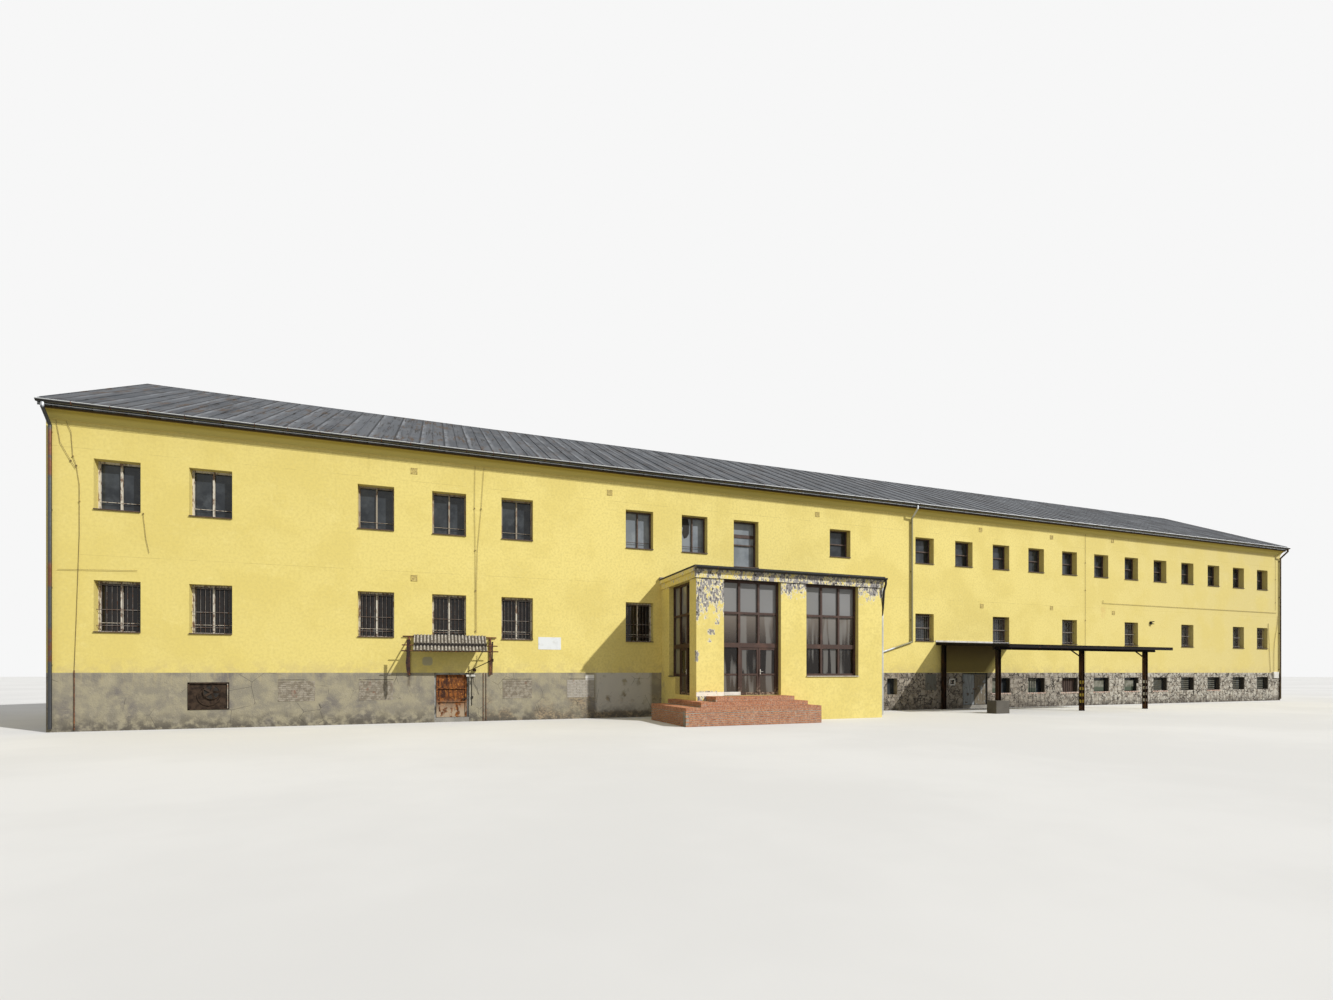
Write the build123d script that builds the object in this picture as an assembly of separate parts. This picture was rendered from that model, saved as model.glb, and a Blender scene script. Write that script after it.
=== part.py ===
from build123d import *
from math import asin, atan, cos, degrees, hypot, pi, radians, tan
import os

# Two-storey rendered warehouse over a half basement, with a glazed porch,
# a corrugated canopy over the basement door and a steel loading canopy.
# It is a scale model at 1:2, because the real building is 75 m long. All
# sizes are model millimetres: 500 here is one metre on the real building.
# X runs along the front from left to right, Y from front to back, Z up.
# The origin is the middle of the main block's footprint, at its lowest ground.

# Main block
LENGTH = 37535            # 75.07 m
DEPTH = 8500              # 17.0 m
WALL = 300                # 0.60 m of brick and render
PLINTH_TOP = 1075         # stone plinth, 2.15 m above the lowest ground
PLINTH_WALL = 360         # 0.72 m, its inner ledge carries the ground floor
BASEMENT_SLAB = 100       # 0.20 m
FLOOR_SLAB = 120          # 0.24 m
UPPER_FLOOR_TOP = 3455    # 6.91 m above the lowest ground

# Roof
RIDGE_TOP = 8125          # 16.25 m above the lowest ground
ROOF_PITCH = 26           # degrees
ROOF_THICKNESS = 120      # 0.24 m of rafters, boards and sheet
EAVE = 225                # 0.45 m past the wall face
VERGE = 20                # 0.04 m past the end walls
SEAM_PITCH = 500          # sheet trays 1.0 m wide
SEAM_WIDTH = 12
SEAM_HEIGHT = 15
RIDGE_CAP = 90            # covered width on each slope
RIDGE_CAP_SHEET = 6

# Coved cornice under the eave
CORNICE_HEIGHT = 268      # from its foot to the eave's underside at the wall face
CORNICE_STEP = 20
CORNICE_REACH = 180
CORNICE_LIP = 42

# Half-round gutters and their pipes
GUTTER_RADIUS = 45        # 0.18 m wide gutter
GUTTER_SHEET = 3
GUTTER_FLANGE = 25
GUTTER_DROP = 20          # top of the flange below the roof sheet
GUTTER_BEAD = 6
GUTTER_SIDES = 16
GUTTER_BEAD_SIDES = 6
PIPE_RADIUS = 28          # 0.11 m pipe
PIPE_FROM_WALL = 45
PIPE_BEND = 60
PIPE_SIDES = 10
CLAMP = 16
CLAMP_SPACING = 1400
PIPE_FOOT = 60
PORCH_PIPE_GAP = 2        # porch pipe to the porch beam
CORNER_PIPE_INSET = 75    # from a corner of the building to its pipe
MIDDLE_PIPE = 19465       # from the left corner
MIDDLE_PIPE_BEND = 1965   # height where it turns along the wall
MIDDLE_PIPE_LOW = 1250    # height where it turns down again
MIDDLE_PIPE_RUN = 2450    # sideways run along the wall

# Windows: each bay list gives the bays that have a window
LEFT_FIRST = 1030         # left corner to the middle of the first bay
LEFT_PITCH = 1455
LEFT_WIDTH = 700
LEFT_UPPER_BAYS = (0, 1, 3, 4, 5, 7, 8)
LEFT_LOWER_BAYS = (0, 1, 3, 4, 5, 7)
LEFT_UPPER_SILL = 4080
LEFT_UPPER_HEAD = 5015
LEFT_LOWER_SILL = 1820
LEFT_LOWER_HEAD = 2780
RIGHT_FIRST = 19968       # left corner to the middle of the right wing's first bay
RIGHT_PITCH = 1492
RIGHT_MARGIN = 1150       # least from the right corner to the middle of the last bay
RIGHT_WIDTH = 680
RIGHT_LOWER_SKIPPED = (1, 3, 5, 7, 9)
RIGHT_UPPER_SILL = 4255
RIGHT_UPPER_HEAD = 5020
RIGHT_LOWER_SILL = 1990
RIGHT_LOWER_HEAD = 2800
STAIR_WINDOW = 14120      # left corner to its middle
STAIR_WIDTH = 720
STAIR_SILL = 3800
SMALL_WINDOW = 17025
END_WINDOW_SPACING = 2400
WINDOW_RECESS = 170       # 0.34 m from the wall face to the frame
FRAME_DEPTH = 40
FRAME_BAR = 34
MULLION = 30
GLASS = 6
GLASS_LAP = 12            # how far a pane stops short of the opening
SILL_NOSE = 30
SILL_THICKNESS = 16

# Basement windows and hatch in the plinth
CELLAR_WIDTH = 725
CELLAR_SILL = 450
CELLAR_HEAD = 910
CELLAR_FIRST_BAY = 2
CELLAR_RECESS = 130
VENT_WINDOW = 18790       # left corner to the middle of the narrow one
VENT_WIDTH = 350
HATCH = 2450              # left corner to the middle of the fan hatch
HATCH_WIDTH = 675
HATCH_BOTTOM = 360
HATCH_TOP = 890
HATCH_PLATE = 20
HATCH_RECESS = 20
FAN_RADIUS = 190
FAN_RIM = 14
FAN_SIDES = 24

# Basement doors
IRON_DOOR = 6900          # left corner to the middle of the single door
IRON_DOOR_WIDTH = 715
TWIN_DOOR = 21895         # left corner to the middle of the double door
TWIN_DOOR_WIDTH = 1005
BASEMENT_JAMB = 40
BASEMENT_FRAME_DEPTH = 70
BASEMENT_FRAME_RECESS = 40

# Doors in general
DOOR_GAP = 6              # leaf to jamb, head and sill
LEAF_GAP = 8              # between two leaves
LEAF = 30
HINGE_RADIUS = 6
HINGE_SIDES = 8
HINGE_STAND_OFF = 7       # axis in front of the leaf's face
HINGE_BARREL = 32
HINGE_PLATE = 3
HINGE_REACH = 24
HINGE_PLAY = 0.3
HINGE_INSET = 150         # from the leaf's ends to its hinges
STILE = 42
HANDLE_LENGTH = 180
HANDLE_BAR = 10
HANDLE_DEPTH = 8
HANDLE_STAND_OFF = 22
HANDLE_POST = 8
HANDLE_POST_SPACING = 140
BOTTOM_RAIL = 60

# Passage from the porch into the building
PASSAGE = 13390           # left corner to its middle
PASSAGE_WIDTH = 700
PASSAGE_HEIGHT = 1100

# Porch
PORCH_LEFT = 11780        # left corner of the building to the porch
PORCH_DEPTH = 2180
PORCH_WALL = 200
PORCH_FLOOR = 575
PORCH_SILL = 985
PORCH_HEAD = 3110
PORCH_BEAM = 140
PORCH_BEAM_PROUD = 25
PORCH_ROOF = 125
PORCH_ROOF_OVERHANG = 55
LEFT_PILLAR = 650
DOOR_OPENING = 1420
MIDDLE_PILLAR = 665
WINDOW_OPENING = 1435
RIGHT_PILLAR = 685
SIDE_REAR_WALL = 540      # from the main wall to the side opening
SIDE_OPENING = 1265       # three equal columns
JOINERY_RECESS = 110
JOINERY_DEPTH = 40
JOINERY_BAR = 50
TRANSOM = 1685            # height of the lower bar's middle
UPPER_BAR = 2395          # height of the upper bar's middle
TRANSOM_BAR = 100
SIDE_LIGHT = 430          # opening's edge to the middle of its mullion
MID_RAIL = 1037
PORCH_SILL_BOARD = 20

# Brick steps
STEP_COUNT = 3
RISER = 100
GOING = 170
LEFT_GOING = 405          # the two lower steps reach further to the left
RIGHT_GOING = 230
LANDING = 500             # depth of the top step in front of the porch
LANDING_LEFT = 224        # porch corner to the top step's left end
LANDING_RIGHT = 40        # the top step past the door opening
STEP_JOINT = 0.5
SIDE_STEP_LENGTH = 1250   # how far the lower steps run back along the left side

# Corrugated canopy over the single basement door
CANOPY_LEFT = 6140        # left corner to its edge
CANOPY_WAVES = 21
WAVE_PITCH = 70
WAVE_HEIGHT = 22
WAVE_FACETS = 6
SHEET = 5
CANOPY_REAR = 1895        # height of the sheet at the wall
CANOPY_FRONT = 1595
CANOPY_REACH = 550
CANOPY_LAP = 60
SHEET_PLAY = 0.3          # between lapped sheets, and between sheet and rail
UPRIGHT = 40
UPRIGHT_LAP = 50          # the uprights reach down past the top of the plinth
RAIL = 18
UPRIGHT_OUTSET = 100
RAIL_OUTSET = 130

# Steel loading canopy
LOADING_LEFT = 20390      # left corner to its left edge
LOADING_WIDTH = 6440
LOADING_REACH = 2500
LOADING_REAR = 1975       # top of the deck at the wall
LOADING_FRONT = 1815
DECK = 24
FULL_DECK = 2890          # its left part reaches the wall, the rest is a strip over the posts
BEAM_DEPTH = 130
EDGE_BEAM_DEPTH = 60
BEAM_WIDTH = 50
POST_LINE = 2000          # wall face to the posts
POST_POSITIONS = (150, 3305, 5990)
REAR_POST = 125           # wall face to the rear post's middle
POST = 100
POST_WEB = 8
FOOTING_TOP = 340
FOOTING_WIDTH = 460
FOOTING_DEPTH = 300
KNEE_REACH = 340
KNEE_DROP = 165
KNEE_BAR = 26

# Sign plate beside the porch
SIGN_LEFT = 8775
SIGN_WIDTH = 520
SIGN_HEIGHT = 285
SIGN_BOTTOM = 1610
SIGN_SHEET = 4

LEFT = -LENGTH / 2
RIGHT = LENGTH / 2
FRONT = -DEPTH / 2
BACK = DEPTH / 2
GROUND_FLOOR_TOP = PLINTH_TOP + FLOOR_SLAB
SLOPE = tan(radians(ROOF_PITCH))
ROOF_DROP = ROOF_THICKNESS / cos(radians(ROOF_PITCH))
SMALL_SILL = RIGHT_UPPER_SILL
PASSAGE_TOP = GROUND_FLOOR_TOP + PASSAGE_HEIGHT
RIGHT_COUNT = int((LENGTH - RIGHT_FIRST - RIGHT_MARGIN) // RIGHT_PITCH) + 1
CORNICE_BOTTOM = RIDGE_TOP - ROOF_DROP + FRONT * SLOPE - CORNICE_HEIGHT


def block(x0, x1, y0, y1, z0, z1):
    """A box between two corners."""
    centre = Pos((x0 + x1) / 2, (y0 + y1) / 2, (z0 + z1) / 2)
    return centre * Box(abs(x1 - x0), abs(y1 - y0), abs(z1 - z0))


def section(points, x0, x1):
    """A closed outline of (y, z) points run along X."""
    plane = Plane(origin=(x0, 0, 0), x_dir=(0, 1, 0), z_dir=(1, 0, 0))
    return extrude(plane * make_face(Polyline(*points, close=True)), amount=x1 - x0)


def roof_underside(y):
    return RIDGE_TOP - ROOF_DROP - abs(y) * SLOPE


def roof_surface(y):
    return RIDGE_TOP - abs(y) * SLOPE


def left_bay(index):
    return LEFT + LEFT_FIRST + index * LEFT_PITCH


def right_bay(index):
    return LEFT + RIGHT_FIRST + index * RIGHT_PITCH


def lower_right_bays():
    return [i for i in range(RIGHT_COUNT) if i not in RIGHT_LOWER_SKIPPED]


def main_windows():
    """Every like window of a long side: middle, width, sill, head, left wing or not."""
    rows = [(left_bay(i), LEFT_WIDTH, LEFT_UPPER_SILL, LEFT_UPPER_HEAD, True) for i in LEFT_UPPER_BAYS]
    rows += [(left_bay(i), LEFT_WIDTH, LEFT_LOWER_SILL, LEFT_LOWER_HEAD, True) for i in LEFT_LOWER_BAYS]
    rows += [(right_bay(i), RIGHT_WIDTH, RIGHT_UPPER_SILL, RIGHT_UPPER_HEAD, False)
             for i in range(RIGHT_COUNT)]
    rows += [(right_bay(i), RIGHT_WIDTH, RIGHT_LOWER_SILL, RIGHT_LOWER_HEAD, False)
             for i in lower_right_bays()]
    return rows


def front_windows():
    return main_windows() + [
        (LEFT + SMALL_WINDOW, RIGHT_WIDTH, SMALL_SILL, RIGHT_UPPER_HEAD, False),
        (LEFT + STAIR_WINDOW, STAIR_WIDTH, STAIR_SILL, LEFT_UPPER_HEAD, False),
    ]


def cellar_centres():
    return [right_bay(i) for i in range(CELLAR_FIRST_BAY, RIGHT_COUNT)]


def floors():
    inner = block(LEFT + PLINTH_WALL, RIGHT - PLINTH_WALL, FRONT + PLINTH_WALL, BACK - PLINTH_WALL,
                  0, BASEMENT_SLAB)
    ground = block(LEFT + WALL, RIGHT - WALL, FRONT + WALL, BACK - WALL, PLINTH_TOP, GROUND_FLOOR_TOP)
    ground += block(LEFT + PASSAGE - PASSAGE_WIDTH / 2, LEFT + PASSAGE + PASSAGE_WIDTH / 2,
                    FRONT, FRONT + WALL, PLINTH_TOP, GROUND_FLOOR_TOP)
    upper = block(LEFT + WALL, RIGHT - WALL, FRONT + WALL, BACK - WALL,
                  UPPER_FLOOR_TOP - FLOOR_SLAB, UPPER_FLOOR_TOP)
    return {"basement_floor": inner, "ground_floor": ground, "upper_floor": upper}


def plinth_hole(centre, width, bottom, top, front=True):
    y0 = FRONT if front else BACK - PLINTH_WALL
    return block(centre - width / 2, centre + width / 2, y0, y0 + PLINTH_WALL, bottom, top)


def plinth_run(x0, x1, holes):
    wall = block(x0, x1, FRONT, FRONT + PLINTH_WALL, 0, PLINTH_TOP)
    return wall - holes if holes else wall


def plinths():
    iron, twin = LEFT + IRON_DOOR, LEFT + TWIN_DOOR
    hatch = [plinth_hole(LEFT + HATCH, HATCH_WIDTH, HATCH_BOTTOM, HATCH_TOP)]
    vent = [plinth_hole(LEFT + VENT_WINDOW, VENT_WIDTH, CELLAR_SILL, CELLAR_HEAD)]
    cellar = [plinth_hole(x, CELLAR_WIDTH, CELLAR_SILL, CELLAR_HEAD) for x in cellar_centres()]
    back = block(LEFT, RIGHT, BACK - PLINTH_WALL, BACK, 0, PLINTH_TOP)
    back -= [plinth_hole(x, CELLAR_WIDTH, CELLAR_SILL, CELLAR_HEAD, False) for x in cellar_centres()]
    ends = [block(x, x + PLINTH_WALL, FRONT + PLINTH_WALL, BACK - PLINTH_WALL, 0, PLINTH_TOP)
            for x in (LEFT, RIGHT - PLINTH_WALL)]
    return {
        "front_plinth_left": plinth_run(LEFT, iron - IRON_DOOR_WIDTH / 2, hatch),
        "front_plinth_middle": plinth_run(iron + IRON_DOOR_WIDTH / 2, twin - TWIN_DOOR_WIDTH / 2, vent),
        "front_plinth_right": plinth_run(twin + TWIN_DOOR_WIDTH / 2, RIGHT, cellar),
        "back_plinth": back,
        "end_plinths": Compound(ends),
    }


def long_wall(x0, x1, bottom):
    """A stretch of the front wall whose top follows the roof."""
    inner = FRONT + WALL
    return section([(FRONT, bottom), (inner, bottom), (inner, roof_underside(inner)),
                    (FRONT, roof_underside(FRONT))], x0, x1)


def wall_holes(windows, y0):
    return [block(x - w / 2, x + w / 2, y0, y0 + WALL, sill, head) for x, w, sill, head, _ in windows]


def gable_wall(x0):
    inner = -FRONT - WALL
    return section([(-inner, PLINTH_TOP), (inner, PLINTH_TOP), (inner, roof_underside(inner)),
                    (0, roof_underside(0)), (-inner, roof_underside(inner))], x0, x0 + WALL)


def end_windows():
    spots = [i * END_WINDOW_SPACING for i in (-1, 0, 1)]
    rows = [(y, RIGHT_WIDTH, RIGHT_UPPER_SILL, RIGHT_UPPER_HEAD) for y in spots]
    return rows + [(y, RIGHT_WIDTH, RIGHT_LOWER_SILL, RIGHT_LOWER_HEAD) for y in spots]


def walls():
    passage_left = LEFT + PASSAGE - PASSAGE_WIDTH / 2
    passage_right = passage_left + PASSAGE_WIDTH
    holes = wall_holes(front_windows(), FRONT)
    middle = [h.bounding_box().center().X for h in holes]
    left = long_wall(LEFT, passage_left, PLINTH_TOP)
    left -= [h for h, x in zip(holes, middle) if x < passage_left]
    right = long_wall(passage_right, RIGHT, PLINTH_TOP)
    right -= [h for h, x in zip(holes, middle) if x > passage_right]
    back = mirror(long_wall(LEFT, RIGHT, PLINTH_TOP), about=Plane.XZ)
    back -= wall_holes(main_windows(), BACK - WALL)
    right_end = gable_wall(RIGHT - WALL)
    right_end -= [block(RIGHT - WALL, RIGHT, y - w / 2, y + w / 2, sill, head)
                  for y, w, sill, head in end_windows()]
    return {
        "front_wall_left": left,
        "front_wall_right": right,
        "front_wall_over_passage": long_wall(passage_left, passage_right, PASSAGE_TOP),
        "back_wall": back,
        "left_gable_wall": gable_wall(LEFT),
        "right_gable_wall": right_end,
    }


def cornice():
    """Coved moulding from the front wall to the underside of the eave."""
    outer = FRONT - CORNICE_REACH
    lip = roof_underside(outer) - CORNICE_LIP
    start = (FRONT - CORNICE_STEP, CORNICE_BOTTOM + CORNICE_STEP)
    cove = RadiusArc(start, (outer, lip), -CORNICE_REACH)
    edge = Polyline((outer, lip), (outer, roof_underside(outer)), (FRONT, roof_underside(FRONT)),
                    (FRONT, CORNICE_BOTTOM), (FRONT - CORNICE_STEP, CORNICE_BOTTOM), start)
    plane = Plane(origin=(LEFT, 0, 0), x_dir=(0, 1, 0), z_dir=(1, 0, 0))
    return extrude(plane * make_face([cove, edge]), amount=LENGTH)


def roof_slope():
    """Front slope with the standing seams of its sheet metal."""
    edge = FRONT - EAVE
    slab = section([(0, roof_underside(0)), (0, RIDGE_TOP), (edge, roof_surface(edge)),
                    (edge, roof_underside(edge))], LEFT - VERGE, RIGHT + VERGE)
    run = (-edge - RIDGE_CAP * cos(radians(ROOF_PITCH))) / cos(radians(ROOF_PITCH))
    count = int((LENGTH + 2 * VERGE - SEAM_WIDTH) // SEAM_PITCH) + 1
    first = -(count - 1) / 2 * SEAM_PITCH
    seam = Box(SEAM_WIDTH, run, SEAM_HEIGHT, align=(Align.CENTER, Align.MIN, Align.MIN))
    lay = Pos(0, edge, roof_surface(edge)) * Rot(ROOF_PITCH, 0, 0)
    seams = [Pos(first + i * SEAM_PITCH, 0, 0) * lay * seam for i in range(count)]
    return slab + seams


def ridge_cap():
    half = RIDGE_CAP * cos(radians(ROOF_PITCH))
    lift = RIDGE_CAP_SHEET / cos(radians(ROOF_PITCH))
    return section([(0, RIDGE_TOP), (-half, roof_surface(half)), (-half, roof_surface(half) + lift),
                    (0, RIDGE_TOP + lift), (half, roof_surface(half) + lift), (half, roof_surface(half))],
                   LEFT - VERGE, RIGHT + VERGE)


def gutter_outline(y_face, z_top):
    """Half-round gutter that hangs on a vertical face, in (y, z)."""
    centre_y, centre_z = y_face - GUTTER_RADIUS, z_top - GUTTER_FLANGE
    bowl = gutter_half(y_face, z_top, GUTTER_RADIUS) - gutter_half(y_face, z_top,
                                                                  GUTTER_RADIUS - GUTTER_SHEET)
    flange = Pos(y_face - GUTTER_SHEET / 2, centre_z + GUTTER_FLANGE / 2)
    flange *= Rectangle(GUTTER_SHEET, GUTTER_FLANGE)
    bead = Pos(centre_y - GUTTER_RADIUS + GUTTER_SHEET / 2, centre_z)
    bead *= RegularPolygon(GUTTER_BEAD, GUTTER_BEAD_SIDES)
    return bowl + flange + bead


def gutter_half(y_face, z_top, radius):
    """Lower half of a faceted round about the gutter's axis."""
    round_bar = RegularPolygon(radius, GUTTER_SIDES)
    round_bar -= Pos(0, GUTTER_RADIUS) * Rectangle(2 * GUTTER_RADIUS, 2 * GUTTER_RADIUS)
    return Pos(y_face - GUTTER_RADIUS, z_top - GUTTER_FLANGE) * round_bar


def gutter(y_face, z_top, x0, x1):
    plane = Plane(origin=(x0, 0, 0), x_dir=(0, 1, 0), z_dir=(1, 0, 0))
    trough = extrude(plane * gutter_outline(y_face, z_top), amount=x1 - x0)
    cap = extrude(plane * gutter_half(y_face, z_top, GUTTER_RADIUS), amount=GUTTER_SHEET)
    return trough + cap + Pos(x1 - x0 - GUTTER_SHEET, 0, 0) * cap


def roof():
    front = roof_slope()
    return {
        "front_roof_slope": front,
        "back_roof_slope": mirror(front, about=Plane.XZ),
        "ridge_cap": ridge_cap(),
    }


def porch_box():
    """Left, right and front of the porch walls."""
    x0 = LEFT + PORCH_LEFT
    width = LEFT_PILLAR + DOOR_OPENING + MIDDLE_PILLAR + WINDOW_OPENING + RIGHT_PILLAR
    return x0, x0 + width, FRONT - PORCH_DEPTH


def porch_roof_edge():
    """Left, right, front and top of the porch roof."""
    x0, x1, y0 = porch_box()
    reach = PORCH_ROOF_OVERHANG
    return x0 - reach, x1 + reach, y0 - reach, PORCH_HEAD + PORCH_BEAM + PORCH_ROOF


def gutters():
    edge = FRONT - EAVE
    front = gutter(edge, roof_surface(edge) - GUTTER_DROP, LEFT - VERGE, RIGHT + VERGE)
    x0, x1, y0, top = porch_roof_edge()
    return Compound([front, mirror(front, about=Plane.XZ), gutter(y0, top - GUTTER_DROP, x0, x1)])


def pipe(points, wall_y, clamp_at):
    """A pipe with mitred elbows on a wall, with clamps back to it at the given points."""
    start = Plane(origin=points[0], z_dir=Vector(points[1]) - Vector(points[0]))
    tube = sweep(start * RegularPolygon(PIPE_RADIUS, PIPE_SIDES), path=Polyline(*points),
                 transition=Transition.RIGHT)
    clamps = [block(x - CLAMP, x + CLAMP, y, wall_y, z - CLAMP, z + CLAMP) for x, y, z in clamp_at]
    return tube + clamps


def eave_pipe(x, points_below=None):
    """A pipe from the front gutter, back under the eave and down the wall."""
    outlet_y = FRONT - EAVE - GUTTER_RADIUS
    top = roof_surface(FRONT - EAVE) - GUTTER_DROP - GUTTER_FLANGE - GUTTER_RADIUS
    y = FRONT - PIPE_FROM_WALL
    neck = CORNICE_BOTTOM - PIPE_BEND
    low = points_below or [(x, y, PIPE_FOOT)]
    points = [(x, outlet_y, top), (x, outlet_y, top - 1.5 * PIPE_BEND), (x, y, neck - PIPE_BEND)] + low
    last_z = low[0][2]
    count = int((neck - 3 * PIPE_BEND - last_z) // CLAMP_SPACING)
    clamps = [(x, y, neck - 3 * PIPE_BEND - i * CLAMP_SPACING) for i in range(count + 1)]
    return pipe(points, FRONT, clamps)


def downpipes():
    y = FRONT - PIPE_FROM_WALL
    left, right = LEFT + CORNER_PIPE_INSET, RIGHT - CORNER_PIPE_INSET
    middle = LEFT + MIDDLE_PIPE
    turned = middle - MIDDLE_PIPE_RUN
    below = [(middle, y, MIDDLE_PIPE_BEND), (turned, y, MIDDLE_PIPE_LOW), (turned, y, PIPE_FOOT)]
    _, x1, y0 = porch_box()
    porch_x, porch_y = x1 + PORCH_BEAM_PROUD + PIPE_RADIUS + PORCH_PIPE_GAP, y0 + 2 * PIPE_RADIUS
    high = PORCH_HEAD + PORCH_BEAM
    corner = Pos(porch_x, porch_y, PIPE_FOOT) * extrude(
        RegularPolygon(PIPE_RADIUS, PIPE_SIDES), amount=high - PIPE_FOOT)
    corner += [block(x1, porch_x, porch_y - CLAMP, porch_y + CLAMP, z - CLAMP, z + CLAMP)
               for z in (PORCH_HEAD - PIPE_BEND, PORCH_SILL)]
    front = [eave_pipe(left), eave_pipe(middle, below), eave_pipe(right)]
    back = [mirror(eave_pipe(x), about=Plane.XZ) for x in (left, 0, right)]
    return Compound(front + back + [corner])


def bars(width, height, verticals, horizontals):
    """A frame with bars, standing in XZ with its lower left corner at the origin."""
    outer = Box(width, FRAME_DEPTH, height, align=(Align.MIN, Align.MIN, Align.MIN))
    cuts = []
    xs = [FRAME_BAR] + [e for v, t in verticals for e in (v - t / 2, v + t / 2)] + [width - FRAME_BAR]
    zs = [FRAME_BAR] + [e for h, t in horizontals for e in (h - t / 2, h + t / 2)] + [height - FRAME_BAR]
    for i in range(0, len(xs), 2):
        for j in range(0, len(zs), 2):
            cuts.append(block(xs[i], xs[i + 1], 0, FRAME_DEPTH, zs[j], zs[j + 1]))
    return outer - cuts


def window_frame(width, height, left_wing):
    """Two upright casements in the left wing, a mid rail in the right one."""
    if left_wing:
        return bars(width, height, [(width / 2, MULLION)], [])
    return bars(width, height, [], [(height / 2, MULLION)])


def sill(width):
    """A sheet sill, its back edge at the frame and its nose past the wall."""
    return block(0, width, -SILL_NOSE, WINDOW_RECESS, 0, SILL_THICKNESS)


def place_front(shape, x, width, z):
    return Pos(x - width / 2, FRONT, z) * shape


def place_back(shape, x, width, z):
    return Pos(x + width / 2, BACK, z) * Rot(0, 0, 180) * shape


def place_end(shape, y, width, z):
    return Pos(RIGHT, y - width / 2, z) * Rot(0, 0, 90) * shape


def window_set(windows, place):
    """Frames, panes and sills of one side."""
    frames, panes, sills = [], [], []
    for x, w, bottom, head, left_wing in windows:
        h = head - bottom
        frames.append(place(Pos(0, WINDOW_RECESS, 0) * window_frame(w, h, left_wing), x, w, bottom))
        pane = block(GLASS_LAP, w - GLASS_LAP, WINDOW_RECESS + FRAME_DEPTH,
                     WINDOW_RECESS + FRAME_DEPTH + GLASS, GLASS_LAP, h - GLASS_LAP)
        panes.append(place(pane, x, w, bottom))
        sills.append(place(sill(w), x, w, bottom))
    return frames, panes, sills


def windows():
    front = window_set(front_windows(), place_front)
    back = window_set(main_windows(), place_back)
    end = window_set([(y, w, s, h, False) for y, w, s, h in end_windows()], place_end)
    return {
        "front_window_frames": Compound(front[0]),
        "front_window_glass": Compound(front[1]),
        "back_window_frames": Compound(back[0] + end[0]),
        "back_window_glass": Compound(back[1] + end[1]),
        "window_sills": Compound(front[2] + back[2] + end[2]),
    }


def cellar_window(width):
    """Fixed light with its rim, one closed panel."""
    height = CELLAR_HEAD - CELLAR_SILL
    panel = block(0, width, 0, FRAME_DEPTH / 2 + GLASS, 0, height)
    panel -= block(FRAME_BAR, width - FRAME_BAR, 0, FRAME_DEPTH / 2, FRAME_BAR, height - FRAME_BAR)
    return Pos(0, CELLAR_RECESS, 0) * panel


def cellar_windows():
    shape = cellar_window(CELLAR_WIDTH)
    solids = [place_front(shape, x, CELLAR_WIDTH, CELLAR_SILL) for x in cellar_centres()]
    solids += [place_back(shape, x, CELLAR_WIDTH, CELLAR_SILL) for x in cellar_centres()]
    solids.append(place_front(cellar_window(VENT_WIDTH), LEFT + VENT_WINDOW, VENT_WIDTH, CELLAR_SILL))
    return Compound(solids)


def fan_hatch():
    x0 = LEFT + HATCH - HATCH_WIDTH / 2
    y0 = FRONT + HATCH_RECESS
    plate = block(x0, x0 + HATCH_WIDTH, y0, y0 + HATCH_PLATE, HATCH_BOTTOM, HATCH_TOP)
    middle = (HATCH_BOTTOM + HATCH_TOP) / 2
    ring = RegularPolygon(FAN_RADIUS, FAN_SIDES) - RegularPolygon(FAN_RADIUS - FAN_RIM, FAN_SIDES)
    face = Plane(origin=(LEFT + HATCH, y0, middle), x_dir=(1, 0, 0), z_dir=(0, -1, 0))
    return plate + extrude(face * ring, amount=HATCH_RECESS)


def hinge_z(bottom, top):
    return (bottom + HINGE_INSET, top - HINGE_INSET)


def hinge_half(side, bottom, upper):
    """One barrel and its plate: the axis is the local Z, the plate runs along side * X."""
    barrel = extrude(RegularPolygon(HINGE_RADIUS, HINGE_SIDES), amount=HINGE_BARREL)
    plate = block(0, side * HINGE_REACH, -HINGE_STAND_OFF, HINGE_PLATE - HINGE_STAND_OFF,
                  0, HINGE_BARREL)
    web = block(0, side * HINGE_PLATE, -HINGE_STAND_OFF, 0, 0, HINGE_BARREL)
    lift = HINGE_BARREL + HINGE_PLAY if upper else 0
    return Pos(0, 0, bottom + lift) * (barrel + plate + web)


def hinges(side, bottom, top, upper):
    return [hinge_half(side, z, upper) for z in hinge_z(bottom, top)]


def glazed_leaf(width, bottom, top, rails):
    """Door leaf from x 0 to width, faces at y -LEAF and 0, with open panels."""
    leaf = block(0, width, -LEAF, 0, bottom, top)
    edges = [bottom + BOTTOM_RAIL] + [e for r in rails for e in (r - STILE / 2, r + STILE / 2)]
    edges.append(top - STILE)
    cuts = [block(STILE, width - STILE, -LEAF, 0, edges[i], edges[i + 1])
            for i in range(0, len(edges), 2)]
    panes = [block(STILE, width - STILE, -LEAF / 2 - GLASS / 2, -LEAF / 2 + GLASS / 2,
                   edges[i], edges[i + 1]) for i in range(0, len(edges), 2)]
    return leaf - cuts, Compound(panes)


def pull_handle(x, z):
    """A bar on two stand-offs on the outer face of a leaf."""
    out = -LEAF - HANDLE_STAND_OFF
    half, post = HANDLE_BAR / 2, HANDLE_POST / 2
    bar = block(x - half, x + half, out - HANDLE_DEPTH, out, z - HANDLE_LENGTH / 2, z + HANDLE_LENGTH / 2)
    return bar + [block(x - post, x + post, out, -LEAF, z + s - half, z + s + half)
                  for s in (-HANDLE_POST_SPACING / 2, HANDLE_POST_SPACING / 2)]


def joinery_y():
    """Front and rear of the porch joinery on the porch's front side."""
    _, _, y0 = porch_box()
    return y0 + JOINERY_RECESS, y0 + JOINERY_RECESS + JOINERY_DEPTH


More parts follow.
